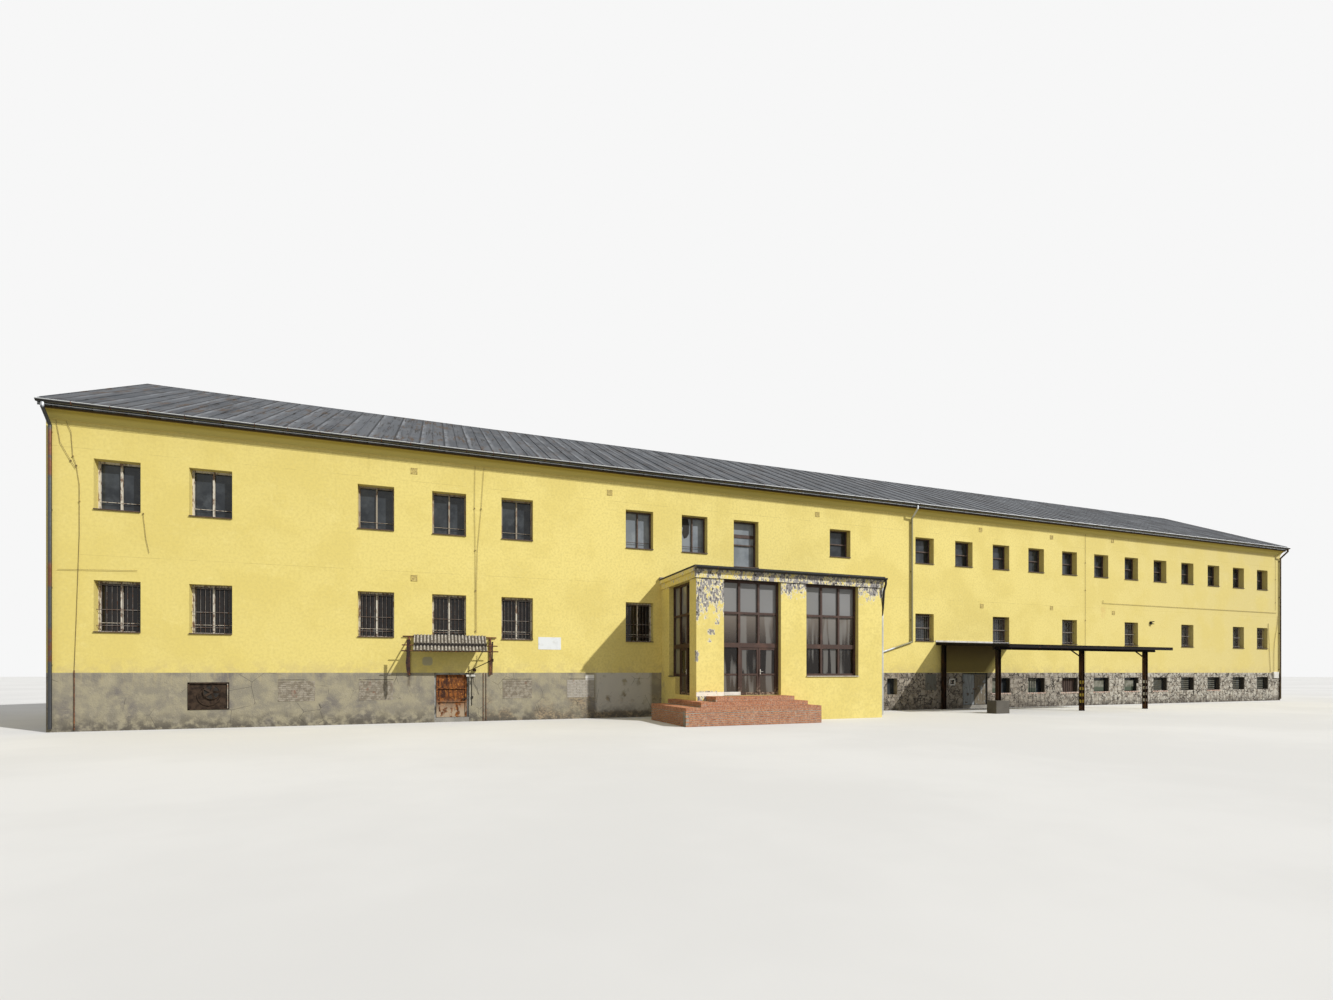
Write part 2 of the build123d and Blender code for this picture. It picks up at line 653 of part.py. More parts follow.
def lattice(width, bottom, top, verticals, horizontals, door=None):
    """Joinery in an opening: edges, mullions, bars, and an open doorway if named."""
    frame = block(0, width, 0, JOINERY_DEPTH, bottom, top)
    half = JOINERY_BAR / 2
    xs = [JOINERY_BAR] + [e for v in verticals for e in (v - half, v + half)] + [width - JOINERY_BAR]
    levels = [(z - t / 2, z + t / 2) for z, t in horizontals]
    zs = [bottom + JOINERY_BAR] + [e for pair in levels for e in pair] + [top - JOINERY_BAR]
    cuts = [block(xs[i], xs[i + 1], 0, JOINERY_DEPTH, zs[j], zs[j + 1])
            for i in range(0, len(xs), 2) for j in range(0, len(zs), 2)]
    if door:
        cuts.append(block(door[0], door[1], 0, JOINERY_DEPTH, bottom, zs[1]))
    return frame - cuts


def porch_rows():
    return [(TRANSOM, TRANSOM_BAR), (UPPER_BAR, JOINERY_BAR)]


def door_span():
    """Clear opening of the front doorway, from the opening's left edge."""
    return SIDE_LIGHT + JOINERY_BAR / 2, DOOR_OPENING - JOINERY_BAR


def porch_front_door():
    """Frame, two leaves and their panes in the front doorway."""
    x0, _, _ = porch_box()
    start = x0 + LEFT_PILLAR
    outer, inner = joinery_y()
    d0, d1 = door_span()
    middle = (d0 + d1) / 2
    frame = lattice(DOOR_OPENING, PORCH_FLOOR, PORCH_HEAD, [SIDE_LIGHT, middle], porch_rows(), (d0, d1))
    frame = Pos(start, outer, 0) * frame
    low, high = PORCH_FLOOR + DOOR_GAP, TRANSOM - TRANSOM_BAR / 2 - DOOR_GAP
    width = middle - d0 - DOOR_GAP - LEAF_GAP / 2
    leaf, panes = glazed_leaf(width, low, high, [MID_RAIL])
    axis_y = inner + HINGE_STAND_OFF
    axis_left, axis_right = start + d0 + DOOR_GAP / 2, start + d1 - DOOR_GAP / 2
    left_place = Pos(axis_left + DOOR_GAP / 2, inner, 0)
    right_place = Pos(axis_right - DOOR_GAP / 2 - width, inner, 0)
    left_hinges = [Pos(axis_left, axis_y, 0) * h for h in hinges(1, low, high, True)]
    right_hinges = [Pos(axis_right, axis_y, 0) * h for h in hinges(-1, low, high, True)]
    frame += [Pos(axis_left, axis_y, 0) * h for h in hinges(-1, low, high, False)]
    frame += [Pos(axis_right, axis_y, 0) * h for h in hinges(1, low, high, False)]
    handle = pull_handle(STILE / 2, MID_RAIL + STILE)
    return {
        "porch_door_frame": frame,
        "porch_left_door": left_place * leaf + left_hinges,
        "porch_left_door_glass": left_place * panes,
        "porch_right_door": right_place * (leaf + handle) + right_hinges,
        "porch_right_door_glass": right_place * panes,
    }


def porch_side():
    """Left side: a narrow door between two fixed lights, under two rows of lights."""
    x0, _, _ = porch_box()
    turn = Pos(x0 + JOINERY_RECESS, FRONT - SIDE_REAR_WALL, 0) * Rot(0, 0, -90)
    third = SIDE_OPENING / 3
    d0, d1 = third + JOINERY_BAR / 2, 2 * third - JOINERY_BAR / 2
    sill_top = PORCH_SILL + PORCH_SILL_BOARD
    frame = lattice(SIDE_OPENING, PORCH_FLOOR, PORCH_HEAD, [third, 2 * third], porch_rows(), (d0, d1))
    frame -= block(0, third - JOINERY_BAR / 2, 0, JOINERY_DEPTH, PORCH_FLOOR, sill_top)
    frame += block(0, third, 0, JOINERY_DEPTH, sill_top, sill_top + JOINERY_BAR)
    low, high = PORCH_FLOOR + DOOR_GAP, TRANSOM - TRANSOM_BAR / 2 - DOOR_GAP
    width = d1 - d0 - 2 * DOOR_GAP
    leaf, panes = glazed_leaf(width, low, high, [MID_RAIL])
    axis_x, axis_y = d0 + DOOR_GAP / 2, JOINERY_DEPTH + HINGE_STAND_OFF
    hang = [Pos(axis_x, axis_y, 0) * h for h in hinges(1, low, high, True)]
    frame += [Pos(axis_x, axis_y, 0) * h for h in hinges(-1, low, high, False)]
    place = Pos(axis_x + DOOR_GAP / 2, JOINERY_DEPTH, 0)
    return {
        "porch_side_frame": turn * frame,
        "porch_side_door": turn * (place * leaf + hang),
        "porch_side_door_glass": turn * (place * panes),
    }


def porch_windows():
    """Fixed joinery of the front window and of the right side."""
    x0, x1, _ = porch_box()
    outer, _ = joinery_y()
    bottom = PORCH_SILL + PORCH_SILL_BOARD
    start = x0 + LEFT_PILLAR + DOOR_OPENING + MIDDLE_PILLAR
    third = WINDOW_OPENING / 3
    front = lattice(WINDOW_OPENING, bottom, PORCH_HEAD, [third, 2 * third], porch_rows())
    side = lattice(SIDE_OPENING, bottom, PORCH_HEAD, [SIDE_OPENING / 3, 2 * SIDE_OPENING / 3], porch_rows())
    turned = Pos(x1 - JOINERY_RECESS, FRONT - SIDE_REAR_WALL - SIDE_OPENING, 0) * Rot(0, 0, 90)
    return Compound([Pos(start, outer, 0) * front, turned * side])


def porch_panes():
    """Sheets of glass on the inner face of the fixed joinery."""
    x0, x1, _ = porch_box()
    _, inner = joinery_y()
    lap = JOINERY_BAR / 2
    door = x0 + LEFT_PILLAR
    window = door + DOOR_OPENING + MIDDLE_PILLAR
    bottom = PORCH_SILL + PORCH_SILL_BOARD + lap
    top = PORCH_HEAD - lap
    over, under = TRANSOM + lap / 2, TRANSOM - lap / 2
    side_x = x0 + JOINERY_RECESS + JOINERY_DEPTH
    rear, third = FRONT - SIDE_REAR_WALL, SIDE_OPENING / 3
    return Compound([
        block(window + lap, window + WINDOW_OPENING - lap, inner, inner + GLASS, bottom, top),
        block(door + lap, door + DOOR_OPENING - lap, inner, inner + GLASS, over, top),
        block(door + lap, door + SIDE_LIGHT - lap / 2, inner, inner + GLASS, PORCH_FLOOR + lap, under),
        block(side_x, side_x + GLASS, rear - SIDE_OPENING + lap, rear - lap, over, top),
        block(side_x, side_x + GLASS, rear - third + lap / 2, rear - lap, bottom, under),
        block(side_x, side_x + GLASS, rear - SIDE_OPENING + lap, rear - 2 * third - lap / 2,
              PORCH_FLOOR + lap, under),
        block(x1 - (side_x - x0) - GLASS, x1 - (side_x - x0), rear - SIDE_OPENING + lap, rear - lap,
              bottom, top),
    ])


def porch_pillars():
    """Corner and middle pillars and the short walls against the building."""
    x0, x1, y0 = porch_box()
    y_side = FRONT - SIDE_REAR_WALL - SIDE_OPENING
    rear = FRONT - SIDE_REAR_WALL
    z0, z1 = PORCH_FLOOR, PORCH_HEAD
    left = block(x0, x0 + LEFT_PILLAR, y0, y0 + PORCH_WALL, z0, z1)
    left += block(x0, x0 + PORCH_WALL, y0, y_side, z0, z1)
    right = block(x1 - RIGHT_PILLAR, x1, y0, y0 + PORCH_WALL, z0, z1)
    right += block(x1 - PORCH_WALL, x1, y0, y_side, z0, z1)
    start = x0 + LEFT_PILLAR + DOOR_OPENING
    middle = block(start, start + MIDDLE_PILLAR, y0, y0 + PORCH_WALL, z0, z1)
    rear_left = block(x0, x0 + PORCH_WALL, rear, FRONT, z0, z1)
    rear_right = block(x1 - PORCH_WALL, x1, rear, FRONT, z0, z1)
    return Compound([left, middle, right, rear_left, rear_right])


def porch_parapets():
    """Low walls under the fixed lights."""
    x0, x1, y0 = porch_box()
    rear = FRONT - SIDE_REAR_WALL
    start = x0 + LEFT_PILLAR + DOOR_OPENING + MIDDLE_PILLAR
    light = SIDE_OPENING / 3 - JOINERY_BAR / 2
    return Compound([
        block(start, start + WINDOW_OPENING, y0, y0 + PORCH_WALL, PORCH_FLOOR, PORCH_SILL),
        block(x0, x0 + PORCH_WALL, rear - light, rear, PORCH_FLOOR, PORCH_SILL),
        block(x1 - PORCH_WALL, x1, rear - SIDE_OPENING, rear, PORCH_FLOOR, PORCH_SILL),
    ])


def porch_sills():
    """Stone sills on the parapets, from the joinery out past the wall."""
    x0, x1, y0 = porch_box()
    rear = FRONT - SIDE_REAR_WALL
    start = x0 + LEFT_PILLAR + DOOR_OPENING + MIDDLE_PILLAR
    light = SIDE_OPENING / 3 - JOINERY_BAR / 2
    z0, z1 = PORCH_SILL, PORCH_SILL + PORCH_SILL_BOARD
    inner = JOINERY_RECESS + JOINERY_DEPTH
    return Compound([
        block(start, start + WINDOW_OPENING, y0 - SILL_NOSE, y0 + inner, z0, z1),
        block(x0 - SILL_NOSE, x0 + inner, rear - light, rear, z0, z1),
        block(x1 - inner, x1 + SILL_NOSE, rear - SIDE_OPENING, rear, z0, z1),
    ])


def porch_shell():
    x0, x1, y0 = porch_box()
    proud, beam_top = PORCH_BEAM_PROUD, PORCH_HEAD + PORCH_BEAM
    beam = block(x0 - proud, x1 + proud, y0 - proud, FRONT, PORCH_HEAD, beam_top)
    beam -= block(x0 + PORCH_WALL, x1 - PORCH_WALL, y0 + PORCH_WALL, FRONT, PORCH_HEAD, beam_top)
    left, right, front, top = porch_roof_edge()
    return {
        "porch_base": block(x0, x1, y0, FRONT, 0, PORCH_FLOOR),
        "porch_pillars": porch_pillars(),
        "porch_parapets": porch_parapets(),
        "porch_sills": porch_sills(),
        "porch_beam": beam,
        "porch_roof": block(left, right, front, FRONT, beam_top, top),
        "porch_window_frames": porch_windows(),
        "porch_glass": porch_panes(),
    }


def brick_steps():
    """Three steps at the porch door, each a plinth of bricks. The lower two turn the left corner."""
    x0, _, y0 = porch_box()
    door_right = x0 + LEFT_PILLAR + DOOR_OPENING
    solids, above = [], []
    for i in range(STEP_COUNT):
        left = x0 + LANDING_LEFT - i * LEFT_GOING
        right = door_right + LANDING_RIGHT + i * RIGHT_GOING
        front = y0 - LANDING - i * GOING
        back = y0 if left > x0 else y0 + SIDE_STEP_LENGTH
        top = PORCH_FLOOR - i * RISER
        body = block(left, right, front, back, 0, top)
        hidden = list(above)
        if back > y0:
            hidden.append(block(x0, right, y0, back, 0, top))
        solids.append(body - hidden if hidden else body)
        above = [block(left - STEP_JOINT, right + STEP_JOINT, front - STEP_JOINT, back, 0, top)]
    return Compound(solids)


def wave_outline(count):
    """Corrugated strip of even waves from crest to crest, in its own flat frame."""
    step = WAVE_PITCH / WAVE_FACETS
    lower = [(i * step, WAVE_HEIGHT / 2 * cos(2 * pi * i / WAVE_FACETS))
             for i in range(count * WAVE_FACETS + 1)]
    upper = [(x, z + SHEET) for x, z in reversed(lower)]
    return make_face(Polyline(*lower, *upper, close=True))


def canopy_slope():
    return degrees(asin((CANOPY_REAR - CANOPY_FRONT) / CANOPY_REACH))


def canopy_frame_z(y):
    """Height of the rails' top at a distance y in front of the wall."""
    fall = radians(canopy_slope())
    return CANOPY_REAR - (WAVE_HEIGHT / 2 + SHEET_PLAY) / cos(fall) - y * tan(fall)


def canopy_sheets():
    """Two lapped sheets that slope away from the wall."""
    fall = canopy_slope()
    length = CANOPY_REACH / cos(radians(fall))
    half = (length + CANOPY_LAP) / 2
    strip = wave_outline(CANOPY_WAVES)
    plane = Plane(origin=(0, 0, 0), x_dir=(1, 0, 0), z_dir=(0, -1, 0))
    sheet = extrude(plane * strip, amount=half)
    tilt = Rot(fall, 0, 0)
    x = LEFT + CANOPY_LEFT
    front = Pos(x, FRONT, CANOPY_REAR) * tilt * Pos(0, -(length - half), 0) * sheet
    lapped = Pos(0, -WAVE_HEIGHT / 2, SHEET + SHEET_PLAY)
    rear = Pos(x, FRONT, CANOPY_REAR) * tilt * lapped * sheet
    return Compound([rear, front])


def canopy_frame():
    """Wall uprights, sloping bearers and the three rails under the sheets."""
    width = CANOPY_WAVES * WAVE_PITCH
    x0, x1 = LEFT + CANOPY_LEFT - UPRIGHT_OUTSET, LEFT + CANOPY_LEFT + width + UPRIGHT_OUTSET
    fall = canopy_slope()
    parts = []
    for x in (x0, x1):
        parts.append(block(x - UPRIGHT / 2, x + UPRIGHT / 2, FRONT - UPRIGHT, FRONT,
                           PLINTH_TOP - UPRIGHT_LAP, canopy_frame_z(0) - RAIL))
        bearer = Box(UPRIGHT / 2, CANOPY_REACH / cos(radians(fall)), UPRIGHT / 2,
                     align=(Align.CENTER, Align.MAX, Align.MAX))
        bearer = Pos(x, FRONT, canopy_frame_z(0) - RAIL) * Rot(fall, 0, 0) * bearer
        parts.append(bearer - block(x - UPRIGHT, x + UPRIGHT, FRONT, FRONT + UPRIGHT, 0, CANOPY_REAR))
    lapped = SHEET + SHEET_PLAY
    for y, lift in ((2 * RAIL, lapped), (CANOPY_REACH / 2 + CANOPY_LAP, 0), (CANOPY_REACH - RAIL, 0)):
        rail = Box(x1 - x0 + 2 * RAIL_OUTSET, RAIL, RAIL + lift,
                   align=(Align.CENTER, Align.CENTER, Align.MIN))
        seat = Pos((x0 + x1) / 2, FRONT - y, canopy_frame_z(y)) * Rot(fall, 0, 0) * Pos(0, 0, -RAIL)
        parts.append(seat * rail)
    frame = parts[0]
    for part in parts[1:]:
        frame += part
    return frame


def loading_x():
    x0 = LEFT + LOADING_LEFT
    return x0, x0 + LOADING_WIDTH


def deck_bottom(y):
    """Underside of the loading deck at a distance y in front of the wall."""
    return LOADING_REAR - DECK - y * (LOADING_REAR - LOADING_FRONT) / LOADING_REACH


def fall_strip(near, far, over, under, x0, x1):
    """A strip between two distances from the wall, its faces offset from the deck's underside."""
    a, b = deck_bottom(near), deck_bottom(far)
    return section([(FRONT - near, a + over), (FRONT - far, b + over), (FRONT - far, b - under),
                    (FRONT - near, a - under)], x0, x1)


def loading_deck():
    """Deck from the wall to the front edge, then only a strip from the post line outwards."""
    x0, x1 = loading_x()
    full = fall_strip(0, LOADING_REACH, DECK, 0, x0, x0 + FULL_DECK)
    strip = fall_strip(POST_LINE - BEAM_WIDTH / 2, LOADING_REACH, DECK, 0, x0 + FULL_DECK, x1)
    return full + strip


def beam_along(y, depth, x0, x1):
    """A beam under the deck, its top following the fall."""
    a, b = y - BEAM_WIDTH / 2, y + BEAM_WIDTH / 2
    low = deck_bottom(b) - depth
    return section([(FRONT - a, deck_bottom(a)), (FRONT - b, deck_bottom(b)), (FRONT - b, low),
                    (FRONT - a, low)], x0, x1)


def loading_beams():
    x0, x1 = loading_x()
    half = BEAM_WIDTH / 2
    frame = beam_along(half, EDGE_BEAM_DEPTH, x0, x0 + FULL_DECK)
    frame += beam_along(POST_LINE, BEAM_DEPTH, x0, x1)
    frame += beam_along(LOADING_REACH - half, EDGE_BEAM_DEPTH, x0, x1)
    for x in (0, POST_POSITIONS[0], FULL_DECK - BEAM_WIDTH):
        frame += fall_strip(0, LOADING_REACH, 0, BEAM_WIDTH, x0 + x, x0 + x + BEAM_WIDTH)
    for x in POST_POSITIONS[1:] + (LOADING_WIDTH - BEAM_WIDTH,):
        frame += fall_strip(POST_LINE, LOADING_REACH, 0, BEAM_WIDTH, x0 + x, x0 + x + BEAM_WIDTH)
    return frame


def post(x, y, bottom, top):
    """Rolled steel post, its web along X and its flanges to the left and right."""
    half, flange, web = POST / 2, POST / 2 - POST_WEB, POST_WEB / 2
    body = block(x - half, x + half, y - half, y + half, bottom, top)
    return body - [block(x - flange, x + flange, y + web, y + half, bottom, top),
                   block(x - flange, x + flange, y - half, y - web, bottom, top)]


def knee(x, y, top):
    """Shallow brace from the post's left flange up to the beam."""
    flange = x - POST / 2
    brace = Box(hypot(KNEE_REACH, KNEE_DROP) + 2 * KNEE_BAR, KNEE_BAR, KNEE_BAR)
    fall = degrees(atan(KNEE_DROP / KNEE_REACH))
    brace = Pos(flange - KNEE_REACH / 2, y, top - KNEE_DROP / 2) * Rot(0, fall, 0) * brace
    return brace & block(flange - KNEE_REACH - 2 * KNEE_BAR, flange + POST_WEB / 2, y - POST, y + POST,
                         top - KNEE_DROP - 2 * KNEE_BAR, top)


def loading_posts():
    x0, _ = loading_x()
    y = FRONT - POST_LINE
    top = deck_bottom(POST_LINE + BEAM_WIDTH / 2) - BEAM_DEPTH
    centres = [x0 + x + BEAM_WIDTH / 2 for x in POST_POSITIONS]
    solids = [post(centres[0], y, FOOTING_TOP, top)]
    for x in centres[1:]:
        solids.append(post(x, y, 0, top) + knee(x, y, top))
    rear_top = deck_bottom(REAR_POST + POST_WEB / 2) - BEAM_WIDTH
    solids.append(post(centres[0], FRONT - REAR_POST, 0, rear_top))
    return Compound(solids)


def canopies():
    x0, _ = loading_x()
    x = x0 + POST_POSITIONS[0] + BEAM_WIDTH / 2
    y = FRONT - POST_LINE
    return {
        "corrugated_sheets": canopy_sheets(),
        "corrugated_canopy_frame": canopy_frame(),
        "loading_deck": loading_deck(),
        "loading_beams": loading_beams(),
        "loading_posts": loading_posts(),
        "post_footing": block(x - FOOTING_WIDTH / 2, x + FOOTING_WIDTH / 2, y - FOOTING_DEPTH / 2,
                              y + FOOTING_DEPTH / 2, 0, FOOTING_TOP),
    }


def basement_frame(centre, width):
    """Jambs and head of a basement doorway, up to the top of the plinth."""
    x0, x1 = centre - width / 2, centre + width / 2
    y0 = FRONT + BASEMENT_FRAME_RECESS
    y1 = y0 + BASEMENT_FRAME_DEPTH
    frame = block(x0, x1, y0, y1, BASEMENT_SLAB, PLINTH_TOP)
    return frame - block(x0 + BASEMENT_JAMB, x1 - BASEMENT_JAMB, y0, y1, BASEMENT_SLAB,
                         PLINTH_TOP - BASEMENT_JAMB)


def outward_hinge(side, bottom, top, upper):
    """Hinges on the outer face, for a leaf that opens outwards."""
    return [Rot(0, 0, 180) * h for h in hinges(-side, bottom, top, upper)]


def plain_leaf(width, bottom, top):
    """Sheet steel leaf from x 0 to width, faces at y 0 and LEAF, with a rail and rim."""
    leaf = block(0, width, 0, LEAF, bottom, top)
    middle = (bottom + top) / 2
    sunk = LEAF / 5
    panels = [block(STILE, width - STILE, 0, sunk, bottom + STILE, middle - STILE / 2),
              block(STILE, width - STILE, 0, sunk, middle + STILE / 2, top - STILE)]
    return leaf - panels


def basement_doors():
    """Single and double doors under the ground floor, opening outwards."""
    iron, twin = LEFT + IRON_DOOR, LEFT + TWIN_DOOR
    y = FRONT + BASEMENT_FRAME_RECESS
    axis_y = y - HINGE_STAND_OFF
    low, high = BASEMENT_SLAB + DOOR_GAP, PLINTH_TOP - BASEMENT_JAMB - DOOR_GAP
    iron_clear = IRON_DOOR_WIDTH - 2 * BASEMENT_JAMB
    twin_clear = TWIN_DOOR_WIDTH - 2 * BASEMENT_JAMB
    iron_leaf = plain_leaf(iron_clear - 2 * DOOR_GAP, low, high)
    twin_width = twin_clear / 2 - DOOR_GAP - LEAF_GAP / 2
    twin_leaf = plain_leaf(twin_width, low, high)
    iron_axis = iron - iron_clear / 2 + DOOR_GAP / 2
    left_axis = twin - twin_clear / 2 + DOOR_GAP / 2
    right_axis = twin + twin_clear / 2 - DOOR_GAP / 2
    iron_hang = [Pos(iron_axis, axis_y, 0) * h for h in outward_hinge(1, low, high, True)]
    left_hang = [Pos(left_axis, axis_y, 0) * h for h in outward_hinge(1, low, high, True)]
    right_hang = [Pos(right_axis, axis_y, 0) * h for h in outward_hinge(-1, low, high, True)]
    iron_frame = basement_frame(iron, IRON_DOOR_WIDTH)
    iron_frame += [Pos(iron_axis, axis_y, 0) * h for h in outward_hinge(-1, low, high, False)]
    twin_frame = basement_frame(twin, TWIN_DOOR_WIDTH)
    twin_frame += [Pos(left_axis, axis_y, 0) * h for h in outward_hinge(-1, low, high, False)]
    twin_frame += [Pos(right_axis, axis_y, 0) * h for h in outward_hinge(1, low, high, False)]
    return {
        "basement_door_frames": Compound([iron_frame, twin_frame]),
        "iron_door": Pos(iron_axis + DOOR_GAP / 2, y, 0) * iron_leaf + iron_hang,
        "twin_left_door": Pos(left_axis + DOOR_GAP / 2, y, 0) * twin_leaf + left_hang,
        "twin_right_door": Pos(right_axis - DOOR_GAP / 2 - twin_width, y, 0) * twin_leaf + right_hang,
    }


def thresholds():
    """Floor of the two basement doorways, out to the wall face."""
    iron, twin = LEFT + IRON_DOOR, LEFT + TWIN_DOOR
    pairs = ((iron, IRON_DOOR_WIDTH), (twin, TWIN_DOOR_WIDTH))
    return Compound([block(x - w / 2, x + w / 2, FRONT, FRONT + PLINTH_WALL, 0, BASEMENT_SLAB)
                     for x, w in pairs])


def sign_plate():
    x = LEFT + SIGN_LEFT
    return block(x, x + SIGN_WIDTH, FRONT - SIGN_SHEET, FRONT, SIGN_BOTTOM, SIGN_BOTTOM + SIGN_HEIGHT)


def build():
    parts = {}
    for group in (floors(), plinths(), walls(), roof(), windows(), porch_shell(), porch_front_door(),
                  porch_side(), canopies(), basement_doors()):
        parts.update(group)
    front_cornice = cornice()
    parts["cornices"] = Compound([front_cornice, mirror(front_cornice, about=Plane.XZ)])
    parts["gutters"] = gutters()
    parts["downpipes"] = downpipes()
    parts["cellar_windows"] = cellar_windows()
    parts["fan_hatch"] = fan_hatch()
    parts["brick_steps"] = brick_steps()
    parts["basement_thresholds"] = thresholds()
    parts["sign_plate"] = sign_plate()
    return parts


os.makedirs("parts", exist_ok=True)
for name, shape in build().items():
    export_step(shape, f"parts/{name}.step")
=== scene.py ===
# %% [markdown]
# A long yellow warehouse with a glazed porch, as a scale model at 1:2.
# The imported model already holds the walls, the roof, the doors and the frames
# at their real size. This lesson gives each of them its finish, and adds what is
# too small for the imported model: bricks, rubble stones, grilles, wires,
# brackets and fittings. All sizes are in metres of the model, so half the
# real size.

# %% Load the frame
import math
import operator
import random
from contextlib import contextmanager
from functools import partialmethod, reduce

import bpy
from mathutils import Matrix, Vector


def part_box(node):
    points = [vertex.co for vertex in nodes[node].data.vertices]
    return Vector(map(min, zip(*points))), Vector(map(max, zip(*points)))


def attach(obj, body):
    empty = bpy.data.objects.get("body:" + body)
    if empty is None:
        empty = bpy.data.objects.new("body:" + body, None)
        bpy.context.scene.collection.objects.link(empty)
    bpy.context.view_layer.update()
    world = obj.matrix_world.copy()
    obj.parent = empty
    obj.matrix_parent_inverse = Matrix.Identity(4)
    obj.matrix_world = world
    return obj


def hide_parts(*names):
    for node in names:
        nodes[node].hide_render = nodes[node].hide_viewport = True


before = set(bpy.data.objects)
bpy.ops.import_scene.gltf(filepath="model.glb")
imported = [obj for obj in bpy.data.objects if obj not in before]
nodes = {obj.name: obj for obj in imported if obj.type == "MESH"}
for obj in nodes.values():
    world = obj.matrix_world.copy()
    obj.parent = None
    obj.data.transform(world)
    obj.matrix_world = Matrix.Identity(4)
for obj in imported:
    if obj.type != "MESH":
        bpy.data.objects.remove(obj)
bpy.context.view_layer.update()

# %% [markdown]
# The camera stands left of the porch, at eye height, and looks level. A level
# camera keeps the walls upright in the picture. To have the whole roof in
# view, the picture is shifted upwards, as with a rising-front lens, instead of
# tilting the camera.

# %% Camera
CAMERA_PLACE = (-12.2025, -18.60, 1.075)
CAMERA_TURN = 20.44          # degrees, from straight at the front to the right
CAMERA_LENS = 16.744         # mm on a 36 mm wide picture
CAMERA_RISE = 0.1296         # share of the picture's width

camera = bpy.data.objects.new("camera", bpy.data.cameras.new("camera"))
bpy.context.scene.collection.objects.link(camera)
camera.location = CAMERA_PLACE
camera.rotation_euler = (math.radians(90), 0, -math.radians(CAMERA_TURN))
camera.data.lens = CAMERA_LENS
camera.data.sensor_width = 36
camera.data.shift_y = CAMERA_RISE
bpy.context.scene.camera = camera
bpy.context.scene.view_settings.view_transform = "Standard"
print("camera at", tuple(camera.location))

# %% [markdown]
# Every finish is a small tree of shader nodes. One function adds a node, sets
# it and links it, and takes colours as the sRGB hex values that a paint chart
# gives. Shaders work on linear light, so the hex value is turned to linear
# first.

# %% Colours and nodes
def linear(colour):
    """An sRGB hex value such as #e6d47f as linear red, green, blue and alpha."""
    parts = [int(colour[i:i + 2], 16) / 255 for i in (1, 3, 5)]
    return [p / 12.92 if p <= 0.04045 else ((p + 0.055) / 1.055) ** 2.4 for p in parts] + [1.0]


class Signal:
    """What a shader node gives: a * b is where both masks are 1, a | b where either is."""

    def __init__(self, tree, socket):
        self.tree, self.socket = tree, socket

    def __mul__(self, other):
        return self.math("MULTIPLY", other)

    def __or__(self, other):
        return self.math("MAXIMUM", other)

    def math(self, operation, *other):
        return add(self.tree, "Math", dict(enumerate((self, *other))), operation=operation)

    def map(self, start, end, low=0, high=1, **settings):
        """Runs from low to high while the signal runs from start to end."""
        ends = {"From Min": start, "From Max": end, "To Min": low, "To Max": high}
        return add(self.tree, "MapRange", {"Value": self, **ends}, **settings)


def add(tree, kind, inputs, output=0, **settings):
    """Adds one shader node; an input is a value, a hex colour or the signal of another node."""
    node = tree.nodes.new("ShaderNode" + kind)
    for name, value in settings.items():
        setattr(node, name, value)
    for key, value in inputs.items():
        if isinstance(value, Signal):
            tree.links.new(value.socket, node.inputs[key])
        else:
            node.inputs[key].default_value = linear(value) if isinstance(value, str) else value
    return Signal(tree, node.outputs[output]) if node.outputs else None


print("yellow paint is", [round(c, 2) for c in linear("#e6d47f")])

# %% [markdown]
# The patterns below are what weather does to a building: spots, streaks that
# run down, and coats that have come off. Each pattern is a mask between 0 and
# 1 on the object's own coordinates, so it stays put when a door opens. A coat
# lays one colour over another where its mask is 1.

# %% Patterns
class Surface:
    """A finish in the making: its colour and its relief."""

    def __init__(self, tree):
        self.tree, self.colour, self.normal = tree, None, None
        self.where = self.node("TexCoord", {}, "Object")

    def node(self, kind, inputs, output=0, **settings):
        return add(self.tree, kind, inputs, output, **settings)

    def at(self, axis):
        """The place along X, Y or Z."""
        return self.node("SeparateXYZ", {0: self.where}, axis)

    def zone(self, axis, start, end):
        """Mask that grows from 0 at start to 1 at end along an axis."""
        return self.at(axis).map(start, end)

    x = partialmethod(zone, "X")
    y = partialmethod(zone, "Y")
    z = partialmethod(zone, "Z")

    def room(self, low, high, soft=0.01):
        """Mask that is 1 inside a box."""
        sides = [self.zone(axis, end + way * soft, end) for axis, ends in zip("XYZ", zip(low, high))
                 for end, way in zip(ends, (-1, 1))]
        return reduce(operator.mul, sides)

    def spots(self, size, low, high, stretch=(1, 1, 1), detail=5.0):
        """Mask of irregular spots about size metres wide; noise under low gives 0, over high 1."""
        scale = [s / size for s in stretch]
        spread = self.node("VectorMath", {0: self.where, 1: scale}, operation="MULTIPLY")
        noise = self.node("TexNoise", {"Vector": spread, "Scale": 1.0, "Detail": detail, "Roughness": 0.6})
        return noise.map(low, high, interpolation_type="SMOOTHSTEP")

    def mix(self, mask, under, over):
        """Colour over where the mask is 1, and colour under where it is 0."""
        return self.node("Mix", {0: mask, 6: under, 7: over}, 2, data_type="RGBA")

    def coat(self, mask, over):
        """Lays a colour on what is there, where the mask is 1."""
        self.colour = self.mix(mask, self.colour, over)

    def relief(self, height, depth):
        """Bumps of the given depth in metres, on top of earlier ones."""
        under = {"Normal": self.normal} if self.normal else {}
        self.normal = self.node("Bump", {"Height": height, "Distance": depth, **under})

    def grain(self, size, detail, depth):
        """Fine bumps about size metres wide."""
        noise = self.node("TexNoise", {"Vector": self.where, "Scale": 1 / size, "Detail": detail})
        self.relief(noise, depth)


def spotted(first, under, over, *coats, grain=None):
    """A look of two colours in spots, with more spots on top and a grain, all given as for spots()."""
    def look(s):
        s.colour = s.mix(s.spots(*first), under, over)
        for spots, colour in coats:
            s.coat(s.spots(*spots), colour)
        if grain:
            s.grain(*grain)

    return look


